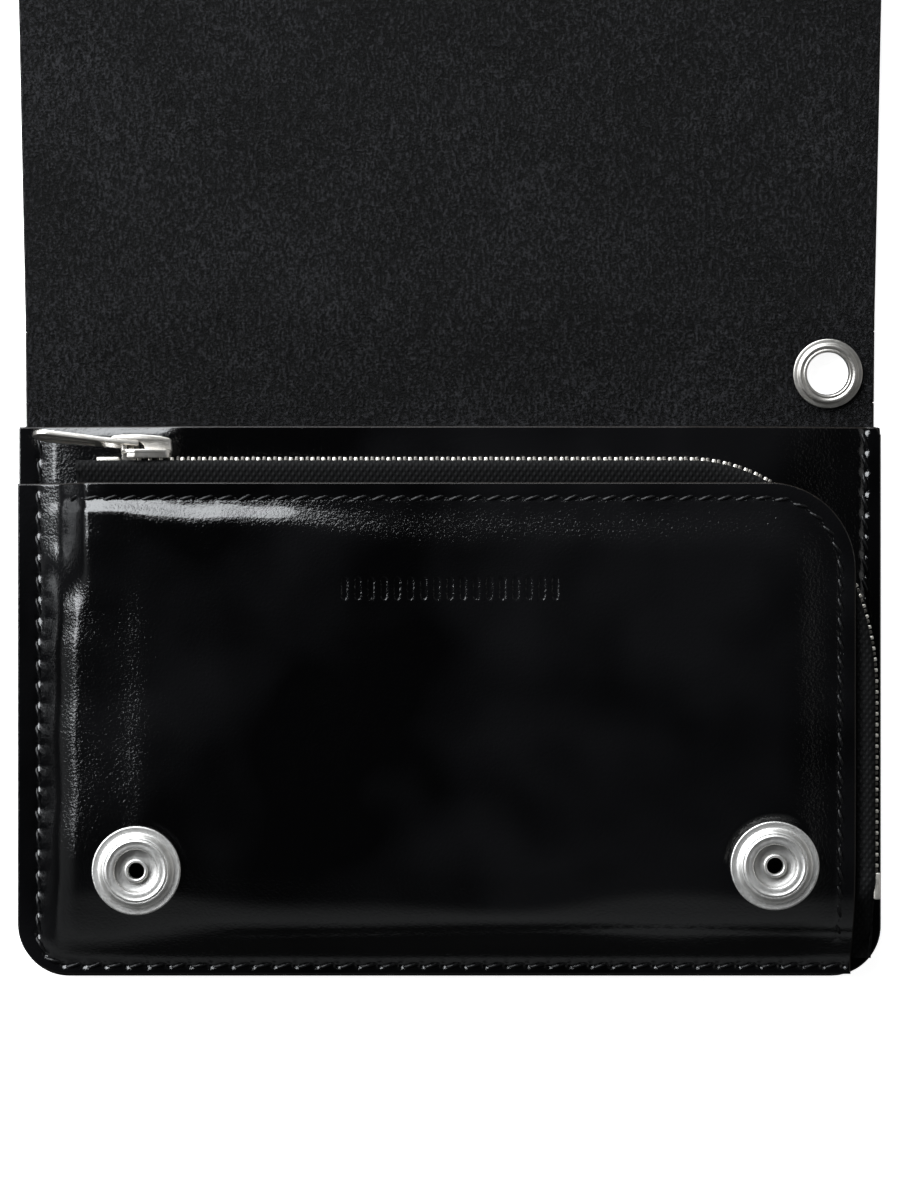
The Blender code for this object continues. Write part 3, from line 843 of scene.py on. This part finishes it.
def cover_place(x, along, height):
    """Where a point of the flat cover lies. along runs from the body's bottom edge to the flap's tip."""
    slopes = (0.0, math.atan2(SPINE_AXIS.z, SPINE_AXIS.y), math.atan2(FLAP_AXIS.z, FLAP_AXIS.y))
    first, second = BODY_LENGTH, BODY_LENGTH + SPINE_LENGTH
    steps = np.linspace(0, second + FLAP_LENGTH + 1 * MM, 3000)
    angle = slopes[1] * step((steps - first + BEND) / (2 * BEND))
    angle += (slopes[2] - slopes[1]) * step((steps - second + BEND) / (2 * BEND))
    stride = steps[1] - steps[0]
    middle_y = BODY_BOTTOM + np.concatenate([[0], np.cumsum(np.cos(angle[:-1])) * stride])
    middle_z = COVER + np.concatenate([[0], np.cumsum(np.sin(angle[:-1])) * stride])
    y = np.interp(along, steps, middle_y)
    z = np.interp(along, steps, middle_z)
    tilt = np.interp(along, steps, angle)
    return np.stack([x, y - height * np.sin(tilt), z + height * np.cos(tilt)], axis=1)


def flat_side(x, y):
    return np.zeros(len(x))


def fold_rows(along, start, end):
    """Close rows of points from start to end mm past a fold, so that the leather bends smoothly."""
    return grid_of(np.linspace(-FOLD_HALF, FOLD_HALF, 160), along + np.linspace(start, end, 22) * MM)


def cover_sheet(name, outline, holes, detail, spacing, square):
    leather = (FLESH, OUTER, EDGE)
    return leather_sheet(
        name, outline, holes, flat_side, COVER, leather, cover_place, (), detail, spacing, square
    )


def make_cover():
    side, fold = HALF_WIDTH, FOLD_HALF
    first, second = BODY_LENGTH, BODY_LENGTH + SPINE_LENGTH
    reach = 3 * MM
    notch = first - (FOLD_A.y - BODY_TOP)
    inner = side - CORNER
    body_outline = (
        arc(inner, CORNER, CORNER, 270, 360)
        + [(side, notch), (fold, notch), (fold, first + reach)]
        + [(-fold, first + reach), (-fold, notch), (-side, notch)]
        + arc(-inner, CORNER, CORNER, 180, 270)
    )
    rows = [fold_rows(first, -4, 3)]
    body = cover_sheet("cover_back_leather", body_outline, [], rows, 4 * MM, (first + reach,))
    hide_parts("cover_back")
    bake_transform(body)

    eyelet_along = first + (Vector((0, EYELET.y, EYELET.z)) - Vector((0, FOLD_A.y, FOLD_A.z))).dot(SPINE_AXIS)
    hole = arc(EYELET.x, eyelet_along, EYELET_HOLE, 360, 15, 24)
    low_edge, high_edge = first + reach, second - reach
    spine_outline = [(-fold, low_edge), (fold, low_edge), (fold, high_edge), (-fold, high_edge)]
    spine = cover_sheet("cover_spine_leather", spine_outline, [hole], (), 3 * MM, (low_edge, high_edge))
    put(spine, "cover_spine", "spine")

    tip = second + FLAP_LENGTH - CORNER
    flare = second + 55 * MM
    flap_outline = (
        [(-fold, high_edge), (fold, high_edge), (fold, second), (side, flare)]
        + arc(inner, tip, CORNER, 0, 90)
        + arc(-inner, tip, CORNER, 90, 180)
        + [(-side, flare), (-fold, second)]
    )
    rows = [fold_rows(second, -3, 4)]
    flap = cover_sheet("cover_flap_leather", flap_outline, [], rows, 4 * MM, (high_edge,))
    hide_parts("cover_flap")
    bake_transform(flap)


# Sewing -------------------------------------------------------------------------------------------


def stitch_shape(length, radius, slant):
    """One slanting stitch of two twisted plies: it comes up out of the leather, arches and goes down."""
    rows, sides = 13, 10
    vertices, faces = [], []
    for i in range(rows):
        t = i / (rows - 1)
        along = (t - 0.5) * length
        rise = radius * (1.15 * math.sin(math.pi * t) - 0.75)
        size = radius * (0.45 + 0.55 * math.sin(math.pi * t) ** 0.5)
        across = slant * along
        for k in range(sides):
            angle = 2 * math.pi * k / sides
            ply = 1 + 0.13 * math.cos(2 * (angle - 9 * t))
            thick = size * ply
            vertices.append((along, across + thick * math.cos(angle), rise + thick * math.sin(angle)))
    for i in range(rows - 1):
        for k in range(sides):
            a, b = i * sides + k, i * sides + (k + 1) % sides
            faces.append((a, b, b + sides, a + sides))
    faces.append(tuple(range(sides))[::-1])
    faces.append(tuple((rows - 1) * sides + k for k in range(sides)))
    return np.array(vertices), faces


def hole_shade_shape(radius):
    """A dimple-like dark disc at a needle hole: painted shade for the hole's dark inside."""
    sides = 12
    vertices = [(0, 0, 0.02 * MM)]
    for angle in np.linspace(0, 2 * math.pi, sides + 1)[:-1]:
        vertices.append((radius * math.cos(angle), radius * 0.8 * math.sin(angle), 0))
    vertices.append((0, 0, -0.15 * MM))
    ring = range(1, sides + 1)
    faces = [(0, i, i % sides + 1) for i in ring] + [(sides + 1, i % sides + 1, i) for i in ring]
    return np.array(vertices), faces


THREAD_RADIUS = 0.3 * MM
STITCH_SLANT = 0.3
NEEDLE_HOLE = 0.38 * MM


def sew(name, seam, height, seed):
    """Stitches along a seam, with dark discs of painted shade at the needle holes. height(x, y) is the
    leather's upper side.
    """
    rng = np.random.default_rng(seed)
    stitches, holes = [], []

    def frame_at(distance, tilt=0.0):
        x, y = seam.point(distance)
        ahead = seam.point(distance + 0.4 * MM)
        behind = seam.point(distance - 0.4 * MM)
        spots_x, spots_y = np.array([ahead[0], behind[0], x]), np.array([ahead[1], behind[1], y])
        heights = height(spots_x, spots_y)
        forward = Vector((ahead[0] - behind[0], ahead[1] - behind[1], heights[0] - heights[1])).normalized()
        aside = Vector((0, 0, 1)).cross(forward).normalized()
        probe = 0.5 * MM
        beside_x = np.array([x + aside.x * probe, x - aside.x * probe])
        beside_y = np.array([y + aside.y * probe, y - aside.y * probe])
        across = height(beside_x, beside_y)
        aside = (aside * 2 * probe + Vector((0, 0, across[0] - across[1]))).normalized()
        upward = forward.cross(aside).normalized()
        turn = Matrix.Rotation(tilt, 4, "Z")
        basis = Matrix((forward, aside, upward)).transposed().to_4x4()
        return Matrix.Translation((x, y, heights[2])) @ basis @ turn

    for distance in (seam.at[:-1] + seam.at[1:]) / 2:
        stitches.append(frame_at(distance, rng.normal(0, 0.05)))
    for distance in seam.at[1:-1]:
        holes.append(frame_at(distance))
    stitch = stitch_shape(0.82 * seam.pitch, THREAD_RADIUS, STITCH_SLANT)
    threads = copies(name + "_thread", stitch, stitches, [THREAD])
    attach(threads, "body")
    # Dark discs at the needle holes: painted shade.
    marks = copies(name + "_needle_hole_shade", hole_shade_shape(NEEDLE_HOLE), holes, [HOLE_SHADE])
    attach(marks, "body")


def make_sewing():
    sew("mouth_seam", MOUTH_SEAM_LINE, front_top, 3)
    sew("edge_seam", EDGE_SEAM, front_top, 4)
    sew("side_seam", TOP_LEFT_SEAM, note_top, 5)
    sew("right_seam", RIGHT_SEAM, note_top, 6)


# Zip ----------------------------------------------------------------------------------------------


def zip_line(start, end):
    corner_a, corner_b = ZIP_RIGHT - ZIP_CORNER_X, ZIP_Y - ZIP_CORNER_Y
    angles = np.radians(np.linspace(90, 0, 40))
    bend_x = ZIP_CORNER_X + corner_a * np.cos(angles)
    bend_y = ZIP_CORNER_Y + corner_b * np.sin(angles)
    return np.vstack([[(start, ZIP_Y)], np.stack([bend_x, bend_y], axis=1), [(ZIP_RIGHT, end)]])


def line_frames(line, spacing):
    points = dense(line, spacing, closed=False)
    return points, *ahead_and_left(points)


def make_tape(name, node, sign, follow):
    """A tape that stands under the teeth, bent over to lie along its panel. sign is 1 for the front."""
    points, _, outward = line_frames(zip_line(low(node)[0] - 3 * MM, low(node)[1] - 9 * MM), 0.5 * MM)
    half = 0.2 * MM
    flange = (low(node)[2] if sign > 0 else high(node)[2]) + sign * half
    reach = abs(flange - ZIP_Z) - 1.6 * MM
    bend = 0.55 * MM
    centre_line = [(0, -reach), (0, -bend)]
    for angle in np.radians((30, 60, 90)):
        centre_line.append((-bend + bend * math.cos(angle), -bend + bend * math.sin(angle)))
    centre_line += [(-1.6 * MM, 0), (-3 * MM, 0), (-5 * MM, 0), (-7 * MM, 0)]
    centre_line = np.array(centre_line)
    _, left = ahead_and_left(centre_line)
    section = np.vstack([centre_line - left * half, (centre_line + left * half)[::-1]])
    drop = follow(points[:, 0], points[:, 1])
    # Past the teeth the two tapes meet, and come down with the pouch into its bottom seam.
    ending = step((ZIP_END - 1 * MM - points[:, 1]) / (6 * MM)) * (points[:, 0] > 0)
    narrow = 1 + ending * ((1 + 1.6 * MM / reach) * risen(points[:, 0], points[:, 1]) - 1)
    vertices, faces = [], []
    count = len(section)
    for (x, y), out, fall, end, leg in zip(points, outward, drop, ending, narrow):
        for away, up in section:
            sunk = fall * max(end, step((-away - 2.2 * MM) / (1.4 * MM)))
            vertices.append((x + out[0] * away, y + out[1] * away, flange + sign * up * leg - sunk))
    for i in range(len(points) - 1):
        for k in range(count):
            a, b = i * count + k, i * count + (k + 1) % count
            quad = (a, a + count, b + count, b)
            faces.append(quad if sign > 0 else quad[::-1])
    ends = (tuple(range(count)), tuple((len(points) - 1) * count + k for k in range(count))[::-1])
    faces += [end if sign > 0 else end[::-1] for end in ends]
    tape = add_mesh(name, vertices, faces, [TAPE])
    put(tape, node, "body")


def tape_fall(x, y):
    """How far the pouch front has come down onto the tape."""
    return WELT_DROP + (FRONT_HIGH - FRONT_LOW - FRONT_THICK) * (1 - risen(x, y))


def back_fall(x, y):
    return (BACK_HIGH - BACK_LOW - BACK_THICK) * (1 - risen(x, y))


def tooth(shape):
    """A front tooth: two legs that grip the tape's edge and a narrower head. X runs along the zip."""
    soft_box(shape, (-0.32 * MM, -0.9 * MM, 0.7 * MM), (0.32 * MM, 0.72 * MM, 2.05 * MM), 0.16 * MM)
    soft_box(shape, (-0.33 * MM, -0.5 * MM, -0.2 * MM), (0.33 * MM, 0.5 * MM, 0.85 * MM), 0.14 * MM)


def make_teeth():
    line = zip_line(ZIP_START + 3.4 * MM, ZIP_END + 0.3 * MM)
    points, ahead, outward = line_frames(line, TOOTH_PITCH / 2)
    source = prototype(tooth)
    # The back row takes the darkened nickel: painted shade between the front teeth.
    for side, first, sign, finish in (("front", 0, 1, ZIP_METAL), ("back", 1, -1, SHADED_ZIP_METAL)):
        matrices = []
        for i in range(first, len(points), 2):
            along = Vector((*ahead[i], 0))
            away = Vector((*outward[i], 0))
            basis = Matrix((along, away, Vector((0, 0, 1)))).transposed().to_4x4()
            place = Matrix.Translation((*points[i], ZIP_Z)) @ basis
            if sign < 0:
                place = place @ Matrix.Rotation(math.pi, 4, "X")
            matrices.append(place)
        teeth = copies("zip_teeth_" + side + "_row", source, matrices, [finish])
        put(teeth, "zip_teeth_" + side, "body")


def make_stops():
    for node in ("zip_top_stop_front", "zip_top_stop_back", "zip_bottom_stop"):
        shape = bmesh.new()
        lowest, highest = Vector(low(node)), Vector(high(node))
        if node.startswith("zip_top"):
            highest.y = ZIP_Y + 0.75 * MM
        else:
            lowest.x = ZIP_RIGHT - 0.1 * MM
        soft_box(shape, lowest, highest, 0.25 * MM, 3)
        mesh = mesh_from(shape, node + "_clip")
        mesh.materials.append(ZIP_METAL)
        shade(mesh)
        stop = linked(node + "_clip", mesh)
        put(stop, node, "body")


def plate(name, outline, lowest, highest, place, bevel, material, segments=3):
    """A flat shape with rounded edges: outline in a plane, drawn out between two heights."""
    shape = bmesh.new()
    bottom = [shape.verts.new((*p, lowest)) for p in outline]
    face = shape.faces.new(bottom)
    made = bmesh.ops.extrude_face_region(shape, geom=[face], use_keep_orig=True)
    moved = [v for v in made["geom"] if isinstance(v, bmesh.types.BMVert)]
    bmesh.ops.translate(shape, verts=moved, vec=(0, 0, highest - lowest))
    bmesh.ops.recalc_face_normals(shape, faces=shape.faces)
    if bevel:
        bmesh.ops.bevel(
            shape, geom=shape.edges[:], offset=bevel, segments=segments, profile=0.5, affect="EDGES"
        )
    shape.transform(place)
    bmesh.ops.recalc_face_normals(shape, faces=shape.faces)
    mesh = mesh_from(shape, name)
    mesh.materials.append(material)
    return linked(name, mesh)


JOIN_TRIES = 30


def box_of(meshes):
    points = np.array([vertex.co for mesh in meshes for vertex in mesh.vertices])
    return np.concatenate([points.min(axis=0), points.max(axis=0)])


def joined(name, parts, operation="UNION"):
    """One solid from the plates that parts() makes, with the helpers removed.

    The exact solver loses most of the slider in about one run of twenty. The same meshes give the same
    failure again, but newly built ones don't, so while the result's box is wrong they are built anew."""
    for _ in range(JOIN_TRIES):
        first, *others = parts()
        for other in others:
            modifier = first.modifiers.new("join", "BOOLEAN")
            modifier.operation = operation
            modifier.solver = "EXACT"
            modifier.object = other
        graph = bpy.context.evaluated_depsgraph_get()
        mesh = bpy.data.meshes.new_from_object(first.evaluated_get(graph))
        whole = box_of([part.data for part in ([first, *others] if operation == "UNION" else [first])])
        for old in [first, *others]:
            bpy.data.objects.remove(old, do_unlink=True)
        if len(mesh.vertices) and np.abs(box_of([mesh]) - whole).max() < 0.01 * MM:
            break
        bpy.data.meshes.remove(mesh)
    else:
        raise RuntimeError("no whole join for " + name)
    shade(mesh, math.radians(35))
    return linked(name, mesh)


SLIDER_NOSE = 5.4 * MM  # from the slider's left end to the middle of its plates
PULL_SLOPE = math.radians(6)
PULL_TWIST = math.radians(12)


def mm(points):
    return [(a * MM, b * MM) for a, b in points]


def slider_parts():
    """The slider: two shield-shaped plates with turned-in sides, a neck and a bridge over the pull's bar."""
    middle = Vector((low("zip_slider_body")[0] + SLIDER_NOSE, ZIP_Y, ZIP_Z))
    # In these plates x runs along the zip and y across it, so the outline is stood up on the zip.
    stand = Matrix.Translation(middle) @ Matrix(((1, 0, 0, 0), (0, 0, 1, 0), (0, 1, 0, 0), (0, 0, 0, 1)))
    shield = mm([
        (-4.3, -1.2), (-3.4, -2.9), (-1.8, -3.5), (3.6, -2.9), (4.3, -2.3),
        (4.3, 2.3), (3.6, 2.9), (-1.8, 3.5), (-3.4, 2.9), (-4.3, 1.2),
    ])
    narrow = [(x, y * 0.7) for x, y in shield]
    pieces = [
        plate("front_plate", shield, 1.3 * MM, 2.1 * MM, stand, 0.22 * MM, NICKEL),
        plate("back_plate", narrow, -2.1 * MM, -1.3 * MM, stand, 0.22 * MM, NICKEL),
    ]
    rail = mm([(-3.2, 2.3), (4.1, 2.3), (4.1, 2.6), (3.6, 2.9), (-1.8, 3.4), (-3.2, 2.9)])
    back_rail = mm([(-3.0, 2.15), (4.1, 2.15), (4.1, 2.35), (-3.0, 2.4)])
    for sign in (1, -1):
        there, behind = ([(x, sign * y) for x, y in outline] for outline in (rail, back_rail))
        pieces.append(plate("front_rail", there, 0.6 * MM, 1.6 * MM, stand, 0.1 * MM, NICKEL))
        pieces.append(plate("back_rail", behind, -1.6 * MM, -0.6 * MM, stand, 0.05 * MM, NICKEL))
    neck = mm([(-4.2, -0.3), (-1.8, -0.25), (-1.8, 0.25), (-4.2, 0.3)])
    pieces.append(plate("neck", neck, -1.9 * MM, 1.9 * MM, stand, 0.05 * MM, NICKEL))
    # The bridge's outline is seen from the side of the zip.
    side = Matrix.Translation(middle)
    arch = rounded(mm([
        (-5.9, 3.75), (-5.9, 4.35), (-4.2, 4.6), (-1.0, 4.65), (2.6, 4.35), (4.25, 3.9), (4.45, 1.6),
        (-0.15, 1.6), (-0.3, 2.75), (-1.1, 3.45), (-3.2, 3.5), (-3.35, 1.6), (-4.15, 1.6), (-4.2, 3.45),
    ]), 0.35 * MM, 3)
    pieces.append(plate("bridge", arch, -1.35 * MM, 1.35 * MM, side, 0.12 * MM, NICKEL, 2))
    return pieces


def make_slider():
    slider = joined("slider", slider_parts)
    put(slider, "zip_slider_body", "zip_slider")


def pull_parts():
    """The pull's blade, then what is cut out of it: a window and hollows that leave a rib and an end bar."""
    outline = (
        mm([(-0.42, -1.95), (5.2, -2.2)])
        + arc(14.9 * MM, 0, 3.05 * MM, -78, 78, 14)
        + mm([(5.2, 2.2), (-0.42, 1.95)])
    )
    here = Matrix.Identity(4)
    blade = plate("blade", outline, -0.44 * MM, 0.44 * MM, here, 0.16 * MM, NICKEL)
    window = mm([(0.42, -1.35), (5.8, -1.5), (5.8, 1.5), (0.42, 1.35)])
    cuts = [plate("window", window, -2 * MM, 2 * MM, here, 0, NICKEL)]
    hollow = [(7.2, 0.32), (17.0, 0.36), (17.0, 2.2), (14.8, 2.45), (7.2, 1.75)]
    for sign in (1, -1):
        for side in (1, -1):
            outline = [(x, y * side) for x, y in mm(hollow)]
            lowest, highest = sorted((sign * 0.2 * MM, sign * 2 * MM))
            cuts.append(plate("hollow", outline, lowest, highest, here, 0, NICKEL))
    return [blade, *cuts]


def make_pull():
    """The pull, lying at a slight twist on the slider."""
    turn = Matrix.Rotation(math.pi - PULL_SLOPE, 4, "Z") @ Matrix.Rotation(math.pi / 2, 4, "X")
    away = Matrix.Translation(PULL_AXIS) @ turn
    pull = joined("pull", pull_parts, "DIFFERENCE")
    pull.data.transform(Matrix.Rotation(PULL_TWIST, 4, "X"))
    pull.data.transform(away)
    put(pull, "zip_pull_tab", "pull_tab")


# Snaps and eyelet ---------------------------------------------------------------------------------


def at(place, matrix=None):
    return Matrix.Translation(place) @ (matrix or Matrix.Identity(4))


# Profiles of turned pieces: (radius, height over the leather) in mm.
SOCKET = [
    (3.62, 1.42), (3.68, 1.65), (3.8, 1.84), (3.95, 1.91), (4.4, 1.88), (4.84, 1.88), (4.94, 1.96),
    (5.06, 2.0), (5.18, 1.96), (5.28, 1.8), (5.4, 1.72), (5.54, 1.78), (5.7, 1.7), (5.88, 1.46), (6.15, 1.1),
    (6.38, 0.84), (6.6, 0.75), (7.3, 0.87), (7.48, 0.87), (7.6, 0.74), (7.6, 0.34), (7.5, 0.3), (1.95, 0.3),
    (1.95, 0.6), (2.4, 0.56), (2.9, 0.6), (3.3, 0.72), (3.6, 0.82), (4.55, 0.82), (4.55, 1.34), (3.66, 1.34),
]
POST = [
    (1.42, 1.16), (1.52, 1.27), (1.68, 1.31), (1.86, 1.27), (2.0, 1.16), (2.06, 1.02), (2.02, 0.9),
    (1.7, 0.86), (1.65, 0.7), (1.65, -1.35), (4.8, -1.4), (5.0, -1.5), (5.0, -1.8), (4.9, -1.9),
    (1.5, -1.9), (1.4, -1.8),
]
STUD = [
    (2.62, 1.9), (2.8, 1.97), (3.0, 1.97), (3.2, 1.88), (3.3, 1.72), (3.28, 1.5), (3.12, 1.15), (3.15, 0.86),
    (3.3, 0.76), (5.6, 0.7), (5.9, 0.62), (6.0, 0.5), (6.0, 0.36), (5.9, 0.3), (1.8, 0.3), (1.8, 1.0),
    (2.45, 1.0), (2.5, 1.75),
]
CAP = [
    (0, 1.0), (1.35, 1.0), (1.5, 0.9), (1.5, -1.8), (7.1, -1.8), (7.35, -1.88), (7.5, -2.08), (7.48, -2.32),
]
CAP += [(7.4 * math.cos(a), -2.35 - 1.77 * math.sin(a) ** 0.9) for a in np.radians(np.linspace(6, 84, 16))]
CAP += [(0, -4.12)]
RING = [
    (3.68, 0.5), (3.74, 0.8), (3.88, 0.97), (4.05, 1.0), (4.2, 0.9), (4.3, 0.86), (4.42, 0.93), (4.6, 1.08),
    (4.85, 1.1), (5.05, 1.0), (5.2, 0.76), (5.3, 0.66), (5.5, 0.62), (5.85, 0.6), (6.0, 0.54), (6.05, 0.44),
    (6.02, 0.34), (5.9, 0.3), (4.15, 0.3), (4.15, -1.42), (4.95, -1.42), (5.05, -1.5), (5.0, -1.66),
    (4.8, -1.7), (3.85, -1.7), (3.7, -1.6),
]
WASHER = [
    (6.05, -0.98), (6.05, -1.15), (5.95, -1.2), (4.5, -1.2), (4.45, -1.15), (4.45, -0.95), (5.95, -0.95),
]


def make_snaps():
    for side, place in SNAPS.items():
        body_place = at((place.x, place.y, FRONT_HIGH))
        flap_place = at(centre_of_flap(side), Matrix.Rotation(FLAP_TILT, 4, "X"))
        made = (
            ("snap_socket_", SOCKET, body_place, "body", "socket"),
            ("snap_post_", POST, body_place, "body", "post"),
            ("flap_stud_", STUD, flap_place, "flap", "stud"),
            ("flap_cap_", CAP, flap_place, "flap", "cap"),
        )
        for prefix, profile, matrix, body, word in made:
            piece = turned(word + "_" + side, mm(profile), [SATIN], matrix)
            put(piece, prefix + side, body)
        spring = frame["nodes"]["snap_spring_" + side]
        spring.data.materials.clear()
        spring.data.materials.append(SPRING)


def centre_of_flap(side):
    """The point of the flap's inner side on a stud's axis."""
    middle = centre("flap_stud_" + side)
    normal = Vector((0, -FLAP_AXIS.z, FLAP_AXIS.y))
    rise = (middle - FOLD_B).dot(normal)
    return middle - normal * rise


def make_eyelet():
    tilt = Matrix.Rotation(math.atan2(SPINE_AXIS.z, SPINE_AXIS.y), 4, "X")
    normal = Vector((0, -SPINE_AXIS.z, SPINE_AXIS.y))
    middle = centre("chain_eyelet")
    foot = middle - normal * (middle - FOLD_A).dot(normal)
    matrix = at(foot, tilt)
    for name, profile, node in (("eyelet", RING, "chain_eyelet"), ("washer", WASHER, "eyelet_washer")):
        piece = turned(name, mm(profile), [OLD_NICKEL], matrix, 96)
        put(piece, node, "spine")


# Floor, camera and light --------------------------------------------------------------------------


def area_light(name, place, target, size, power, color=(1, 1, 1), size_y=None):
    light = bpy.data.lights.new(name, "AREA")
    light.energy = power
    light.size = size
    light.color = color
    if size_y:
        light.shape = "RECTANGLE"
        light.size_y = size_y
    obj = linked(name, light)
    obj.location = place
    obj.rotation_euler = (Vector(target) - Vector(place)).to_track_quat("-Z", "Y").to_euler()


def make_stage():
    white = Nodes("paper_floor")
    grain = white.noise(1.5 * MM, 4.0)
    white.use(Base_Color=white.tones(grain, (0.8, 0.8, 0.8), (0.84, 0.84, 0.84)))
    white.set(Roughness=0.9)
    white.shader.inputs["Emission Color"].default_value = (1, 1, 1, 1)
    white.shader.inputs["Emission Strength"].default_value = 0.9
    size = 4.0
    drop = -0.05 * MM
    corners = [(-size, -size, drop), (size, -size, drop), (size, size, drop), (-size, size, drop)]
    floor = add_mesh("floor", corners, [(0, 1, 2, 3)], [white.material], smooth=False)
    floor.visible_glossy = False
    floor.visible_diffuse = False

    camera = bpy.data.cameras.new("camera")
    camera.sensor_fit = "VERTICAL"
    camera.sensor_height = 36
    # The camera looks straight down from this far over a plane in which it sees this much, top to bottom.
    reach, seen, plane = 780 * MM, 208.8 * MM, 3 * MM
    camera.lens = camera.sensor_height * reach / seen
    view = linked("camera", camera)
    view.location = (0, BODY_TOP - 30.1 * MM, reach + plane)
    bpy.context.scene.camera = view

    world = bpy.data.worlds.new("world")
    world.use_nodes = True
    sky = world.node_tree
    across = sky.nodes.new("ShaderNodeSeparateXYZ")
    sky.links.new(sky.nodes.new("ShaderNodeTexCoord").outputs["Generated"], across.inputs[0])
    up = sky.nodes.new("ShaderNodeMapRange")
    up.inputs["From Min"].default_value = -1
    sky.links.new(across.outputs["Z"], up.inputs["Value"])
    walls = sky.nodes.new("ShaderNodeValToRGB")
    # Dark below and overhead, pale walls in between.
    for place, tone in ((0.45, 0.08), (0.6, 1.0), (0.75, 0.55), (0.93, 0.05)):
        stop = walls.color_ramp.elements.new(place)
        stop.color = (tone * 0.95, tone * 0.98, tone, 1)
    walls.color_ramp.elements[0].color = (0.05, 0.05, 0.05, 1)
    walls.color_ramp.elements[-1].color = (0.02, 0.02, 0.02, 1)
    sky.links.new(up.outputs[0], walls.inputs[0])
    sky.links.new(walls.outputs[0], sky.nodes["Background"].inputs["Color"])
    sky.nodes["Background"].inputs["Strength"].default_value = 0.3
    bpy.context.scene.world = world
    area_light("window", (-0.65, 0.67, 0.58), (0, 0, 0), 1.6, 49, (0.94, 0.97, 1.0), 0.95)
    area_light("right_fill", (1.1, 0.1, 0.6), (0, 0, 0), 1.0, 1.2, (1.0, 0.99, 0.97))
    bpy.context.scene.view_settings.view_transform = "Standard"


make_stage()
make_panels()
make_cover()
make_sewing()
make_tape("zip_front_tape", "zip_tape_front", 1, tape_fall)
make_tape("zip_back_tape", "zip_tape_back", -1, back_fall)
make_teeth()
make_stops()
make_slider()
make_pull()
make_snaps()
make_eyelet()
